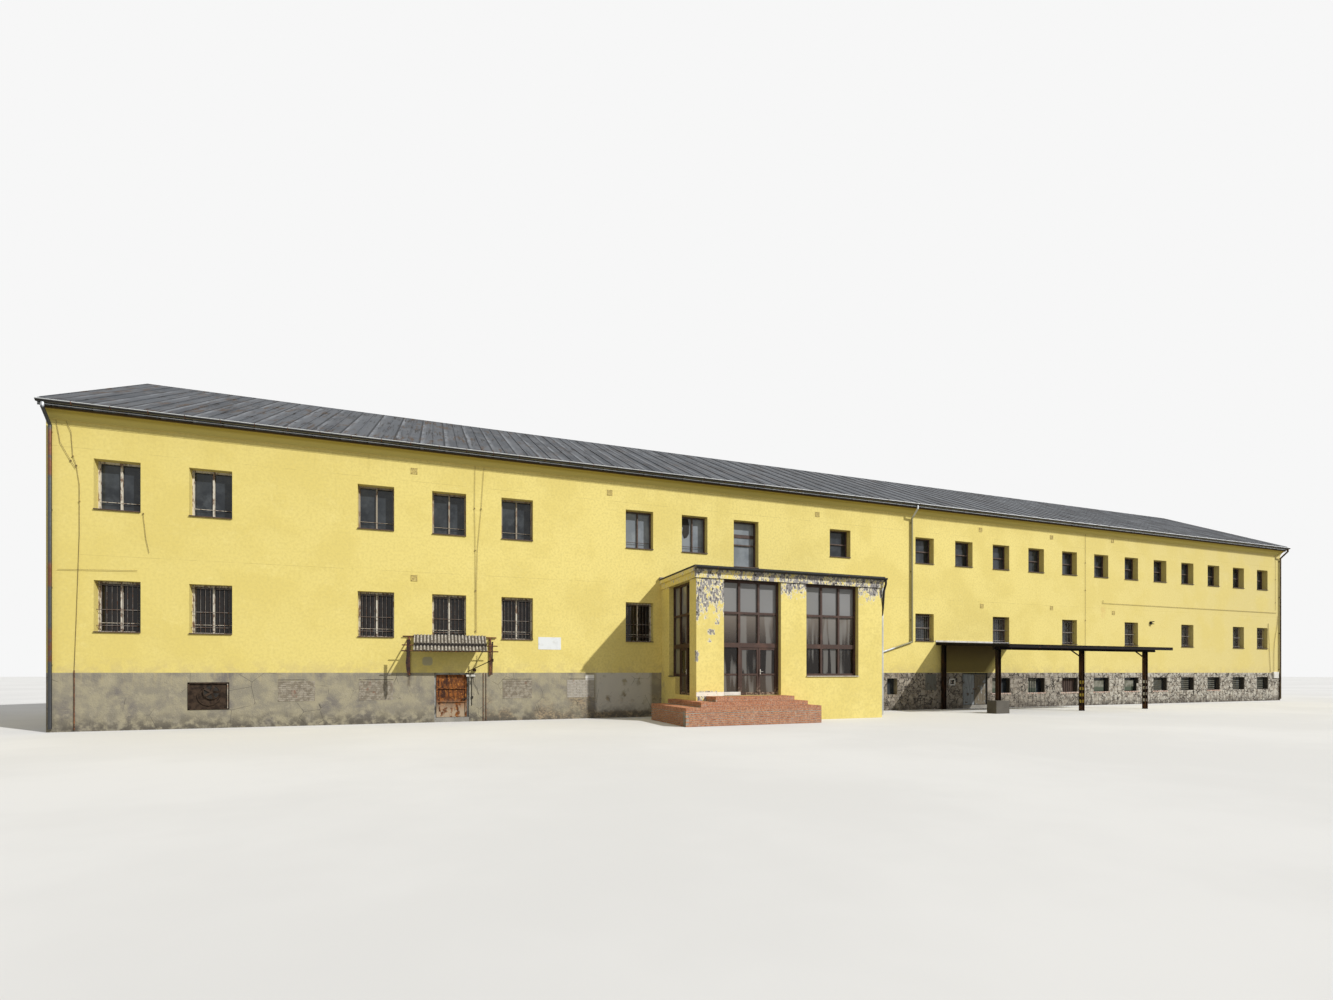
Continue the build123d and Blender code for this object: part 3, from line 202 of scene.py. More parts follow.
def finish(name, look, roughness=0.85, metallic=0.0, **constants):
    """Makes a material; look(surface) gives the surface its colour and its relief."""
    made = bpy.data.materials.new(name)
    made.use_nodes = True
    tree = made.node_tree
    tree.nodes.clear()
    surface = Surface(tree)
    look(surface)
    inputs = {"Base Color": surface.colour, "Roughness": roughness, "Metallic": metallic, **constants}
    if surface.normal:
        inputs["Normal"] = surface.normal
    add(tree, "OutputMaterial", {0: add(tree, "BsdfPrincipled", inputs)})
    return made


def paint(material, *names):
    """Gives CAD nodes a material."""
    for name in names:
        nodes[name].data.materials.clear()
        nodes[name].data.materials.append(material)
    print(material.name, "on", len(names), "nodes")


print("patterns are ready")

# %% [markdown]
# Measured places. The walls, openings and panes are read from the packed
# model, so a piece that is added later follows them. A node may hold many
# separate solids, such as all the panes of the front, and each one's box says
# where a window is.

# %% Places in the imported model
def solids(node):
    """Lowest and highest corner of each separate solid of a node, from left to right."""
    mesh = nodes[node].data
    leader = list(range(len(mesh.vertices)))

    def root(i):
        while leader[i] != i:
            leader[i] = leader[leader[i]]
            i = leader[i]
        return i

    first = {}
    for vertex in mesh.vertices:
        spot = tuple(round(c, 5) for c in vertex.co)
        leader[root(vertex.index)] = root(first.setdefault(spot, vertex.index))
    for face in mesh.polygons:
        for corner in face.vertices[1:]:
            leader[root(corner)] = root(face.vertices[0])
    groups = {}
    for vertex in mesh.vertices:
        groups.setdefault(root(vertex.index), []).append(vertex.co)
    boxes = [(Vector(map(min, zip(*g))), Vector(map(max, zip(*g)))) for g in groups.values()]
    return sorted(boxes, key=lambda b: (round(b[0].x, 3), b[0].z))


LEFT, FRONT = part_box("front_wall_left")[0].xy
RIGHT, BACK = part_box("back_wall")[1].xy
PLINTH_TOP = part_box("front_plinth_left")[1].z
CORNICE_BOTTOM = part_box("cornices")[0].z
PORCH_LOW, PORCH_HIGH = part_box("porch_pillars")
PORCH_BEAM_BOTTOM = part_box("porch_beam")[0].z
WALL = 0.30
panes = solids("front_window_glass")
stair_pane = [p for p in panes if -5 < p[0].x < -4][0]
left_panes = [p for p in panes if p[1].x < stair_pane[0].x]
right_panes = [p for p in panes if p[0].x > stair_pane[1].x]
print("panes:", len(panes), "left wing:", len(left_panes), "right wing:", len(right_panes))

# %% [markdown]
# The walls are brick with a lime render under several coats of yellow masonry
# paint. Close by, the paint is uneven: older and newer coats, dirt under the
# sills and the cornice, hairline cracks at the floors. On the porch the paint
# has come off in flakes, down to a white undercoat and the grey render. The
# cornice, the underside of the porch beam and the wall under the loading deck
# also carry painted shade. One material does it all, and masks by height and
# place say what shows where.

# %% Yellow masonry paint on lime render
HAIRLINES = (3.235, 5.18)    # heights of the fine cracks along the floors
PLASTER_GRAIN = 0.012        # sand grain is finer, this is as fine as shows
PILASTER_RIGHT = -6.3375     # right edge of the porch's left pilaster
TAR_LINE = 3.335             # above this height the porch roof's edge is felt


def flaking(s):
    """How much paint is gone: 0 none, 1 most."""
    face = s.y(PORCH_LOW.y + 0.02, PORCH_LOW.y + 0.01)
    fascia = s.z(PORCH_BEAM_BOTTOM - 0.01, PORCH_BEAM_BOTTOM)
    fascia = fascia * s.spots(0.45, 0.4, 0.6).map(0, 1, 0.66, 0.88)
    pilaster = s.x(PILASTER_RIGHT + 0.02, PILASTER_RIGHT)
    top = pilaster * s.z(1.7, 2.8) * 0.82
    edge = s.x(PORCH_LOW.x + 0.13, PORCH_LOW.x + 0.05) * s.z(1.95, 2.25)
    blot = (s.room((-6.7, -9, 1.9), (-6.56, 9, 2.0), 0.06) |
            s.room((-6.72, -9, 1.74), (-6.65, 9, 1.82), 0.05) |
            s.room((-6.54, -9, 2.14), (-6.46, 9, 2.24), 0.06))
    others = s.x(-6.2, -6.1) * s.z(2.52, 2.95) * 0.86
    foot = pilaster * s.z(0.72, 0.66)
    on_front = face * (fascia | top | edge * 0.9 | blot * 0.97 | others | foot * 0.75)
    side = s.room((PORCH_LOW.x - 0.02, PORCH_LOW.y - 0.02, 1.33),
                  (PORCH_LOW.x + 0.02, PORCH_LOW.y + 0.07, 1.52), 0.08)
    side_fascia = (s.x(PORCH_LOW.x + 0.02, PORCH_LOW.x + 0.01) * s.y(FRONT - 0.01, FRONT - 0.02) *
                   s.z(3.5, 3.4) * s.z(3.02, 3.08))
    return on_front | side * 0.95 | side_fascia * 0.44


def yellow_paint(s):
    broad = s.spots(1.1, 0.42, 0.62)
    newer = s.x(-17.0, -9.0)
    s.colour = s.mix(newer, "#e0cd79", "#ecd983")
    s.coat(s.x(4.0, 17.0), "#d6c582")
    s.coat(broad * 0.45, "#d8c36a")
    fine = s.spots(0.09, 0.45, 0.7)
    s.coat(fine * s.spots(0.6, 0.4, 0.7) * 0.35, "#ecdc90")
    mottle = s.spots(0.05, 0.4, 0.66, detail=3.0)
    s.coat(mottle * 0.5, "#d3c070")
    streaks = s.spots(0.07, 0.52, 0.75, stretch=(1, 1, 0.07))
    high = s.z(CORNICE_BOTTOM - 0.5, CORNICE_BOTTOM + 0.1)
    s.coat(streaks * high * 0.3, "#b9a55a")
    low = s.z(PLINTH_TOP + 0.3, PLINTH_TOP - 0.05)
    damp = low * s.spots(0.16, 0.4, 0.62) * s.y(FRONT - 0.3, FRONT - 0.2)
    s.coat(damp * 0.6, "#c2b07a")
    # Dirt and painted shade on the cornice: its face darkens outwards and is nearly black under the gutter,
    # where the eave's shade falls.
    cornice_dirt_and_painted_shade = s.mix(s.y(FRONT - 0.06, FRONT - 0.1), "#cdbb66", "#b09d48")
    cornice_dirt_and_painted_shade = s.mix(s.y(FRONT - 0.15, FRONT - 0.178), cornice_dirt_and_painted_shade, "#5a4620")
    over = s.z(CORNICE_BOTTOM, CORNICE_BOTTOM + 0.015) * s.y(FRONT - 0.002, FRONT - 0.006)
    s.coat(over, cornice_dirt_and_painted_shade)
    for height in HAIRLINES:
        line = s.z(height - 0.004, height) * s.z(height + 0.004, height) * s.spots(0.5, 0.42, 0.55)
        s.coat(line, "#b3a05a")
    amount = flaking(s)
    fine_flake = s.spots(0.034, 0.32, 0.68, stretch=(1, 1, 0.38), detail=7.0)
    broad_flake = s.spots(0.13, 0.34, 0.66, stretch=(1, 1, 0.7), detail=4.0)
    flake = s.mix(0.5, fine_flake, broad_flake)
    worn = flake.math("ADD", amount)
    white = worn.map(1.15, 1.18)
    grey = worn.map(1.31, 1.34)
    s.coat(white, "#e8dfc2")
    s.coat(grey, "#938e8b")
    spots = grey * s.spots(0.04, 0.52, 0.6, stretch=(1, 1, 0.6), detail=8.0)
    s.coat(spots, "#38332e")
    strip = (s.z(0.662, 0.652) * s.y(PORCH_LOW.y + 0.02, PORCH_LOW.y + 0.01) *
             s.x(PILASTER_RIGHT + 0.02, PILASTER_RIGHT) * s.z(0.57, 0.576) * s.spots(0.09, 0.32, 0.42))
    s.coat(strip, "#f0e9d6")
    # Painted shade on the wall under the loading deck: a dark patch bounded by the slant of the deck's shadow
    # edge, darkest near the deck.
    shadow_slant = s.node("VectorMath", {0: s.where, 1: (1.0, 0.0, -0.88)}, "Value", operation="DOT_PRODUCT")
    deck_painted_shade = (s.room((1.8, FRONT - 0.05, 1.1), (4.8, FRONT + 0.05, 1.92), 0.02) * shadow_slant.map(2.74, 2.5) *
             s.x(1.75, 1.95))
    deck_shade_colour = s.mix(s.z(1.35, 1.85), "#6a5a28", "#452f0c")
    s.coat(deck_painted_shade * 0.92, deck_shade_colour)
    scar = (s.room((-12.42, FRONT - 0.05, 1.28), (-12.31, FRONT + 0.05, 1.37), 0.08) *
            s.spots(0.08, 0.2, 0.36))
    s.coat(scar.map(0.3, 0.5), "#b5ac86")
    rusty = s.room((8.72, FRONT - 0.05, 3.0), (8.76, FRONT + 0.05, 3.2), 0.16) * s.spots(0.12, 0.3, 0.6)
    s.coat(rusty * 0.3, "#c99a5c")
    # Painted shade: a dark coat on the underside of the porch beam.
    soffit_painted_shade = s.z(3.1115, 3.1105) * s.z(3.108, 3.1095) * s.y(PORCH_LOW.y + 0.3, PORCH_LOW.y + 0.2)
    s.coat(soffit_painted_shade, "#2f2718")
    felt = s.z(TAR_LINE - 0.003, TAR_LINE) * s.z(3.42, 3.4) * s.y(FRONT - 0.001, FRONT - 0.004)
    s.coat(felt, "#2f2d2b")
    inside = s.room((LEFT + WALL - 0.02, FRONT + 0.2, 0), (RIGHT - WALL + 0.02, BACK - 0.2, 9))
    porch = s.room((PORCH_LOW.x + 0.16, PORCH_LOW.y + 0.16, 0.56),
                   (PORCH_HIGH.x - 0.16, FRONT + 0.01, 3.26))
    s.coat(inside | porch, "#cbc5b6")
    s.grain(PLASTER_GRAIN, 3.0, 0.002)
    s.relief(broad, 0.004)
    s.relief(white | grey, -0.002)


paint(finish("flaking_masonry_paint", yellow_paint, roughness=0.9),
      "front_wall_left", "front_wall_right", "front_wall_over_passage", "back_wall",
      "left_gable_wall", "right_gable_wall", "cornices", "porch_pillars", "porch_parapets",
      "porch_beam", "porch_base", "porch_roof")

# %% [markdown]
# The left part of the plinth is a grey cement render that has gone patchy:
# dark and damp near the ground, yellowish where paint has run down. The
# right part is rubble stone. Its stones are modelled further down, and the
# packed wall behind them shows only in the joints, as mortar.

# %% Grey cement render
INFILL_MIDDLES = (-14.83, -13.37, -10.46, -9.01)


def grey_render(s):
    s.colour = s.mix(s.spots(0.28, 0.38, 0.62), "#8d8675", "#a1987f")
    s.coat(s.spots(0.6, 0.5, 0.68), "#77716a")
    s.coat(s.spots(0.12, 0.56, 0.7) * 0.4, "#b0a68d")
    runs = s.spots(0.08, 0.5, 0.66, stretch=(1, 1, 0.15)) * s.z(0.75, 1.07)
    s.coat(runs * 0.4, "#b3a47c")
    bare = s.z(0.62, 0.42) * s.spots(1.1, 0.4, 0.52) * s.x(-11.3, -11.1)
    stones = s.mix(s.spots(0.055, 0.42, 0.58, stretch=(1, 1, 1.5), detail=2.0), "#a08c6f", "#6b5f4f")
    s.coat(bare * 0.8, stones)
    pale = s.room((-8.6, -9, 0.2), (-7.3, 9, 1.1), 0.08) * s.spots(0.3, 0.3, 0.46)
    s.coat(pale * 0.75, "#cbc6ba")
    chip = s.room((-8.88, -9, 0.91), (-8.69, 9, 1.02), 0.015) * s.spots(0.1, 0.3, 0.36)
    s.coat(chip, "#e6e2da")
    damp = s.z(0.35, 0.05) * s.spots(0.15, 0.35, 0.6)
    s.coat(damp, "#5f594e")
    streak = (s.room((-12.74, -9, 0.8), (-12.72, 9, 1.08), 0.05) * s.z(0.6, 0.95) *
              s.spots(0.05, 0.3, 0.6, stretch=(1, 1, 0.2)))
    s.coat(streak * 0.8, "#46362b")
    cells = s.node("TexVoronoi", {"Vector": s.where, "Scale": 2.2}, feature="DISTANCE_TO_EDGE")
    crack = cells.map(0.012, 0.0)
    s.coat(crack * s.spots(0.7, 0.5, 0.6), "#4d483f")
    for x in INFILL_MIDDLES:
        head = s.room((x - 0.33, FRONT - 0.1, 0.926), (x + 0.33, FRONT + 0.1, 0.934), 0.004)
        s.coat(head * s.spots(0.15, 0.36, 0.46), "#3d372e")
    s.grain(0.02, 4.0, 0.006)


def joint_mortar(s):
    s.colour = s.mix(s.spots(0.1, 0.4, 0.6), "#857b6c", "#a3998a")
    # Painted shade: the mortar in the reveals of the openings in the rubble plinth, behind the wall face, is
    # made nearly black.
    reveal_painted_shade = s.room((-1.0, FRONT + 0.02, 0.44), (RIGHT - 0.1, FRONT + 0.3, 0.93), 0.01)
    s.coat(reveal_painted_shade * 0.85, "#27221a")
    s.grain(0.008, 3.0, 0.003)


cement = finish("grey_cement_render", grey_render, roughness=0.95)
mortar = finish("lime_mortar_joints", joint_mortar, roughness=0.95)
paint(cement, "front_plinth_left", "front_plinth_middle")
paint(mortar, "front_plinth_right", "back_plinth", "end_plinths")

# %% [markdown]
# Floors, thresholds and the post's footing are cast concrete: grey, cloudy,
# with small blow holes.

# %% Cast concrete
def cast_concrete(s):
    s.colour = s.mix(s.spots(0.4, 0.4, 0.62), "#8b877e", "#a09b90")
    s.coat(s.spots(0.03, 0.62, 0.68), "#5e5a52")
    footing = s.y(FRONT - 1.0, FRONT - 1.1)
    s.coat(footing * 0.75, "#3f392f")
    s.grain(0.015, 4.0, 0.003)


concrete = finish("cast_concrete", cast_concrete, roughness=0.92)
paint(concrete, "basement_floor", "ground_floor", "upper_floor", "basement_thresholds", "post_footing")

# %% [markdown]
# The roof is sheet steel with standing seams, painted grey long ago. Each
# tray has its own tone, because the sheets were coated and laid one by one,
# and rain has drawn brown and dark streaks down the slope. The streaks are
# noise that is stretched along Y, the way the water runs.

# %% Weathered seamed sheet
SEAM_PITCH = 0.5


def seamed_sheet(s):
    across = s.at("X")
    tray = across.math("DIVIDE", SEAM_PITCH).math("FLOOR")
    tone = s.node("TexWhiteNoise", {"W": tray}, noise_dimensions="1D")
    s.colour = s.mix(tone, "#484b4f", "#595c60")
    s.coat(s.x(-4.0, 14.0) * 0.7, "#75787c")
    washed = s.spots(0.1, 0.5, 0.6, stretch=(1, 0.1, 0)) * s.x(-6.0, 10.0)
    s.coat(washed * 0.6, "#9b9ea2")
    s.coat(s.spots(0.35, 0.4, 0.65, stretch=(1, 0.3, 0)), "#5d5f62")
    # Painted light at the seams: a painted highlight on one side of each seam and a painted shade on the
    # other.
    beside = across.math("FLOORED_MODULO", SEAM_PITCH)
    lit = beside.map(0.1, 0.03) * s.spots(0.5, 0.35, 0.6, stretch=(1, 0.3, 0))
    s.coat(lit * 0.6, "#8b8e92")
    shade = beside.map(SEAM_PITCH - 0.05, SEAM_PITCH - 0.03)
    s.coat(shade * 0.85, "#202225")
    streaks = s.spots(0.06, 0.5, 0.64, stretch=(1, 0.06, 0)) * s.spots(0.8, 0.4, 0.58)
    s.coat(streaks, "#312f2e")
    rust = s.spots(0.12, 0.5, 0.62, stretch=(1, 0.14, 0)) * s.spots(1.3, 0.44, 0.58)
    rust = rust * across.map(-11.0, -9.0, 0.9, 0.35)
    s.coat(rust, "#4b3c2e")
    s.grain(1 / 2.4, 2.0, 0.02)


paint(finish("weathered_seamed_sheet", seamed_sheet, roughness=0.8, **{"Specular IOR Level": 0.25}),
      "front_roof_slope", "back_roof_slope", "ridge_cap")

# %% [markdown]
# Gutters and downpipes are zinc sheet: bright where the rain washes it, dull
# grey in between. The pipe at the left corner has rusty stretches of steel.
# At the height of the eave gutters a painted highlight runs along the top and
# a painted shade across the bowl.

# %% Zinc and dark sheet
def zinc(s):
    s.colour = s.mix(s.spots(0.3, 0.4, 0.65, stretch=(0.3, 1, 0.3)), "#dcdede", "#bbbec0")
    corner = s.x(LEFT + 0.4, LEFT + 0.3)
    stretch = (s.z(1.25, 1.3) * s.z(1.9, 1.8) | s.z(2.6, 2.65) * s.z(3.1, 3.0) |
               s.z(4.6, 4.65) * s.z(5.5, 5.4))
    rusty = corner * stretch * s.spots(0.12, 0.3, 0.5)
    s.coat(corner * s.z(5.8, 5.77), "#4c4d4f")
    s.coat(rusty * 0.9, "#6b4430")
    pipes = s.x(0, 0.1) * s.x(1.2, 1.1) * s.z(5.6, 5.5)
    s.coat(pipes, "#8b8669")
    end_pipe = s.x(RIGHT - 0.3, RIGHT - 0.2) * s.z(5.88, 5.86)
    s.coat(end_pipe, s.mix(s.spots(0.2, 0.4, 0.6), "#4a3c2c", "#645640"))
    # Painted highlight: a near white band along the top of the gutter, where the sun catches its rolled edge.
    bead = s.z(5.889, 5.893) * s.z(5.93, 5.925)
    s.coat(bead, "#f0f2f1")
    # Painted shade: a dark stripe across the middle of the gutter's bowl.
    belly_painted_shade = s.z(5.89, 5.886) * s.z(5.84, 5.86)
    s.coat(belly_painted_shade * 0.95, "#241e1a")
    dull = s.y(FRONT - 1.4, FRONT - 1.5) * s.z(3.2, 3.25)
    s.coat(dull, "#3a3a39")
    s.grain(1 / 12.0, 2.0, 0.004)


def dark_sheet(s):
    s.colour = s.mix(s.spots(0.4, 0.4, 0.65), "#262423", "#3a3734")
    s.coat(s.spots(0.08, 0.58, 0.7), "#4d4238")
    edge = s.y(-6.7, -6.74)
    s.coat(edge, s.mix(s.spots(0.06, 0.6, 0.66), "#0b0908", "#3a2218"))
    s.grain(0.01, 3.0, 0.002)


zinc_sheet = finish("weathered_zinc", zinc, roughness=0.42, metallic=0.7)
tarred = finish("tarred_roofing_felt", dark_sheet, roughness=0.85, **{"Specular IOR Level": 0.1})
paint(zinc_sheet, "gutters", "downpipes")
paint(tarred, "loading_deck")

# %% [markdown]
# The porch joinery is softwood under a brown wood stain. The grain shows as
# fine lines along each bar, and the stain has faded to a reddish brown in
# patches, and is worn pale near the floor.

# %% Brown stained softwood
def stained_wood(s):
    grain = s.spots(0.012, 0.4, 0.65, stretch=(1, 1, 0.05))
    s.colour = s.mix(grain, "#341f13", "#44291b")
    s.coat(s.spots(0.3, 0.5, 0.68), "#4f3325")
    worn = s.z(0.85, 0.6) * s.spots(0.05, 0.45, 0.6)
    s.coat(worn, "#8f7c6a")
    s.relief(grain, 0.001)


joinery = finish("brown_stained_softwood", stained_wood, roughness=0.6)
paint(joinery, "porch_door_frame", "porch_side_frame", "porch_window_frames",
      "porch_left_door", "porch_right_door", "porch_side_door")

# %% [markdown]
# The window frames of the left wing were cream once. The paint has chalked
# and come off down to brown wood. Those of the right wing and of the stair
# are a dark brown. One material changes its coat by place along the front.

# %% Window paint
def window_coat(s):
    chips = s.spots(0.05, 0.5, 0.6, stretch=(1, 1, 0.3))
    faded = s.z(3.5, 3.6) * s.x(-15.0, -14.9)
    cream = s.mix(chips, s.mix(faded, "#cbc3b2", "#968c7b"), "#7b6350")
    brown = s.mix(s.spots(0.06, 0.4, 0.7), "#4a3a31", "#67564a")
    right = s.x(stair_pane[0].x - 0.6, stair_pane[0].x - 0.5) | s.x(-8.2, -8.1) * s.z(3.5, 3.6)
    s.colour = s.mix(right, cream, brown)
    s.relief(chips, -0.001)


window_paint = finish("chalked_window_paint", window_coat, roughness=0.75)
paint(window_paint, "front_window_frames", "back_window_frames")

# %% [markdown]
# Sheet glass in daylight is dark with a sharp, pale reflection. The rooms
# behind the main windows are unlit, so their panes are a dark, smooth,
# opaque surface with a film of dust. The porch is lit from three sides, and
# its panes let the eye through.

# %% Glass
def dusty_dark(s):
    s.colour = s.mix(s.spots(0.7, 0.4, 0.62), "#22262a", "#3a3e41")
    s.coat(s.spots(0.25, 0.45, 0.75), "#464a4d")
    # Painted reflection: the upper panes from x -8.0 to -4.2 are made pale grey, as a reflection of the sky.
    pale = s.x(-8.1, -8.0) * s.x(-4.1, -4.2) * s.z(3.5, 3.6)
    s.coat(pale, s.mix(s.spots(0.5, 0.4, 0.6), "#73797e", "#868c90"))
    barred = s.z(3.3, 3.2) * s.x(-5.5, -5.6)
    s.coat(barred, "#1b1613")


def clear_pane(s):
    # The porch panes' colours are painted light: dark painted shade of the room behind in the lower rows,
    # rising to a pale painted sky reflection in the top row, with pale painted reflections in upright
    # streaks.
    low = s.mix(s.z(1.03, 1.05), "#4f463e", "#221d19")
    middle = s.mix(s.z(1.75, 2.38), "#3f3731", "#7d746a")
    mirrored = s.spots(0.16, 0.5, 0.6, stretch=(1, 1, 0.1), detail=1.0)
    low = s.mix(mirrored * 0.6, low, "#8a8781")
    middle = s.mix(mirrored * 0.5, middle, "#97948e")
    high = s.mix(s.spots(1.5, 0.4, 0.7, detail=1.0), "#8b8a88", "#979695")
    s.colour = s.mix(s.z(1.68, 1.7), low, middle)
    side = s.x(PORCH_LOW.x + 0.3, PORCH_LOW.x + 0.2) * s.y(-5.23, -5.21)
    s.coat(side, "#8f8b78")
    s.coat(s.z(2.39, 2.41), high)


dark_glass = finish("dusty_sheet_glass", dusty_dark, roughness=0.08, **{"Specular IOR Level": 0.36})
clear_glass = finish("clear_sheet_glass", clear_pane, roughness=0.04, Alpha=0.82,
                     **{"Specular IOR Level": 0.35})
paint(dark_glass, "front_window_glass", "back_window_glass", "cellar_windows")
paint(clear_glass, "porch_glass", "porch_left_door_glass", "porch_right_door_glass",
      "porch_side_door_glass")

# %% [markdown]
# Rolled steel that has rusted: a dark brown skin with orange blooms. The
# sheet of the single door has rusted to orange and keeps some pale old paint.
# The loading canopy's beams are nearly black, and its posts are browner.

# %% Rust
def grey_door(s):
    s.colour = s.mix(s.spots(0.2, 0.4, 0.62), "#85847e", "#a3a19a")
    s.coat(s.spots(0.07, 0.55, 0.66, stretch=(1, 1, 0.4)), "#4d4842")
    s.relief(s.spots(0.05, 0.5, 0.6), -0.001)


def orange_rust(s):
    s.colour = s.mix(s.spots(0.09, 0.4, 0.62), "#5e3210", "#8c521e")
    s.coat(s.spots(0.05, 0.54, 0.66), "#b97a35")
    runs = s.spots(0.045, 0.46, 0.6, stretch=(1, 1, 0.22))
    left = s.x(-11.68, -12.0)
    s.coat(runs * left.map(0, 1, 0.45, 1), "#381c0c")
    paint_left = s.spots(0.1, 0.4, 0.5, stretch=(1, 1, 0.6)) * s.z(0.5, 0.22)
    s.coat(paint_left, "#a8947a")
    s.relief(paint_left, 0.001)


STRIPE_PITCH = 0.09          # half of the warning stripes' repeat on two posts


def dark_steel(s):
    s.colour = s.mix(s.spots(0.12, 0.4, 0.65), "#0d0a08", "#1b130e")
    s.coat(s.spots(0.08, 0.62, 0.68), "#4a2a1a")
    low = s.z(1.66, 1.5)
    streaks = s.spots(0.08, 0.42, 0.62, stretch=(1, 1, 0.3))
    web = s.mix(streaks, "#38261a", "#5f4128")
    first = s.mix(streaks, "#170e08", "#3a2416")
    hatch = s.mix(s.spots(0.1, 0.4, 0.6), "#2a2018", "#44362a")
    web = s.mix(s.x(1.9, 2.0), s.mix(s.x(-15, -15.1), first, hatch), web)
    s.coat(low, web)
    stripe = s.at("Z").math("PINGPONG", STRIPE_PITCH).map(0.045, 0.05)
    near = s.spots(0.05, 0.36, 0.46) * s.room((4.9, -6.27, 0.15), (7.7, -6.23, 0.88))
    paint_of = s.mix(s.x(6, 6.1), "#dcc65a", "#cfccc0")
    s.coat(near, s.mix(stripe, "#15120f", paint_of))
    s.grain(0.008, 4.0, 0.001)


rust = finish("rusted_rolled_steel", spotted((0.1, 0.4, 0.65), "#4a2e20", "#6b4329",
                                             ((0.05, 0.52, 0.66), "#8a5530"), grain=(0.008, 4.0, 0.001)))
rust_sheet = finish("orange_rusted_sheet", orange_rust, roughness=0.9)
dark_rust = finish("tar_dark_rolled_steel", dark_steel, roughness=0.8, **{"Specular IOR Level": 0.2})
peeling_grey = finish("peeling_grey_paint", grey_door, roughness=0.8)
paint(rust, "corrugated_canopy_frame")
paint(rust_sheet, "iron_door")
paint(dark_rust, "loading_beams", "loading_posts", "fan_hatch")
paint(peeling_grey, "twin_left_door", "twin_right_door", "basement_door_frames")

# %% [markdown]
# Smaller finishes: brown coated sheet on the sills, pale cast stone under the
# porch windows, fibre cement whose valleys are painted dark, as dirt and as
# painted shade, with a painted shadow where its rows lap, and white enamel on
# the bare plate.

# %% Sills, fibre cement and the plate
WAVE_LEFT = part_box("corrugated_sheets")[0].x
WAVE_PITCH = 0.070
LAP = solids("corrugated_sheets")[1][0].y


def sill_stone(s):
    s.colour = s.mix(s.spots(0.05, 0.4, 0.65), "#b5ad9b", "#c9c2b0")
    s.coat(s.spots(0.3, 0.55, 0.7), "#8e877a")
    s.coat(s.x(PORCH_LOW.x + 0.3, PORCH_LOW.x + 0.2), "#3d352c")


def fibre_sheet(s):
    across = s.at("X")
    # Dirt and painted shade: the valleys of the waves are painted dark and the crests pale.
    phase = across.map(WAVE_LEFT, WAVE_LEFT + WAVE_PITCH, 0, math.tau, clamp=False)
    crest = phase.math("COSINE").map(-0.6, 0.5)
    pale = s.mix(s.spots(0.06, 0.38, 0.62), "#857d70", "#b9b3a7")
    s.colour = s.mix(crest, "#4b443b", pale)
    s.coat(s.spots(0.09, 0.55, 0.66), "#5a5248")
    # Painted shadow: a dark band on the front row of sheets, just below the edge of the rear row that laps
    # over it.
    lap_painted_shadow = s.y(LAP - 0.09, LAP - 0.076) * s.y(LAP + 0.012, LAP + 0.002)
    s.coat(lap_painted_shadow * s.spots(0.2, 0.25, 0.35), "#140c08")
    s.grain(0.01, 3.0, 0.001)


brown_sheet = spotted((0.1, 0.45, 0.7), "#46342a", "#5c4638")
enamel = spotted((0.12, 0.5, 0.8), "#e4e6e4", "#cfd0cb")
paint(finish("brown_coated_sheet", brown_sheet, roughness=0.6), "window_sills")
paint(finish("pale_cast_stone", sill_stone, roughness=0.9), "porch_sills")
paint(finish("weathered_fibre_cement", fibre_sheet, roughness=0.95), "corrugated_sheets")
paint(finish("white_enamel_plate", enamel, roughness=0.35), "sign_plate")

# %% [markdown]
# New pieces are modelled as by hand: a primitive is set down at its size and
# place, shaped in edit mode, and finished with bevels. What repeats is
# modelled once, and each copy gets its own mesh, so that the copies can be
# joined into one piece. Everything is deselected first, because an operator
# acts on all that is selected.

# %% Hand tools
FACING = (math.radians(90), 0, 0)    # turns what is flat towards the front


def start(add_primitive, place, scale=(1, 1, 1), **settings):
    """Sets down one primitive, alone in the selection, with its size and place applied."""
    bpy.ops.object.select_all(action="DESELECT")
    add_primitive(location=place, **settings)
    made = bpy.context.object
    made.scale = scale
    bpy.ops.object.transform_apply(location=True, rotation=True, scale=True)
    return made


@contextmanager
def editing():
    """Edit mode on the active piece, with all of it selected."""
    bpy.ops.object.mode_set(mode="EDIT")
    bpy.ops.mesh.select_all(action="SELECT")
    yield
    bpy.ops.object.mode_set(mode="OBJECT")


def bar(low, high, edge=0.002):
    """A squared bar between two corners, with its edges taken off."""
    made = start(bpy.ops.mesh.primitive_cube_add, [(a + b) / 2 for a, b in zip(low, high)],
                 [b - a for a, b in zip(low, high)], size=1)
    with editing():
        bpy.ops.mesh.bevel(offset=edge, segments=1, affect="EDGES")
    return made


def slab(y, x0, x1, z0, z1, proud, behind=0.002, edge=0.002):
    """A bar on the upright face at y, standing proud of it and reaching a little behind it."""
    return bar((x0, y - proud, z0), (x1, y + behind, z1), edge)


def rim(y, x0, x1, z0, z1, wide, proud, behind=0.002):
    """Four bars round a rectangle: lower, upper, left and right."""
    level = [slab(y, x0, x1, z, z + wide, proud, behind) for z in (z0, z1 - wide)]
    return level + [slab(y, x, x + wide, z0, z1, proud, behind) for x in (x0, x1 - wide)]


def disc(x, y, z, radius, depth, vertices):
    """A round plate that faces the front."""
    return start(bpy.ops.mesh.primitive_cylinder_add, (x, y, z), vertices=vertices, radius=radius,
                 depth=depth, rotation=FACING)


def ring(x, y, z, radius, thick, segments, sides):
    """A round ring that faces the front."""
    return start(bpy.ops.mesh.primitive_torus_add, (x, y, z), major_radius=radius, minor_radius=thick,
                 major_segments=segments, minor_segments=sides, rotation=FACING)


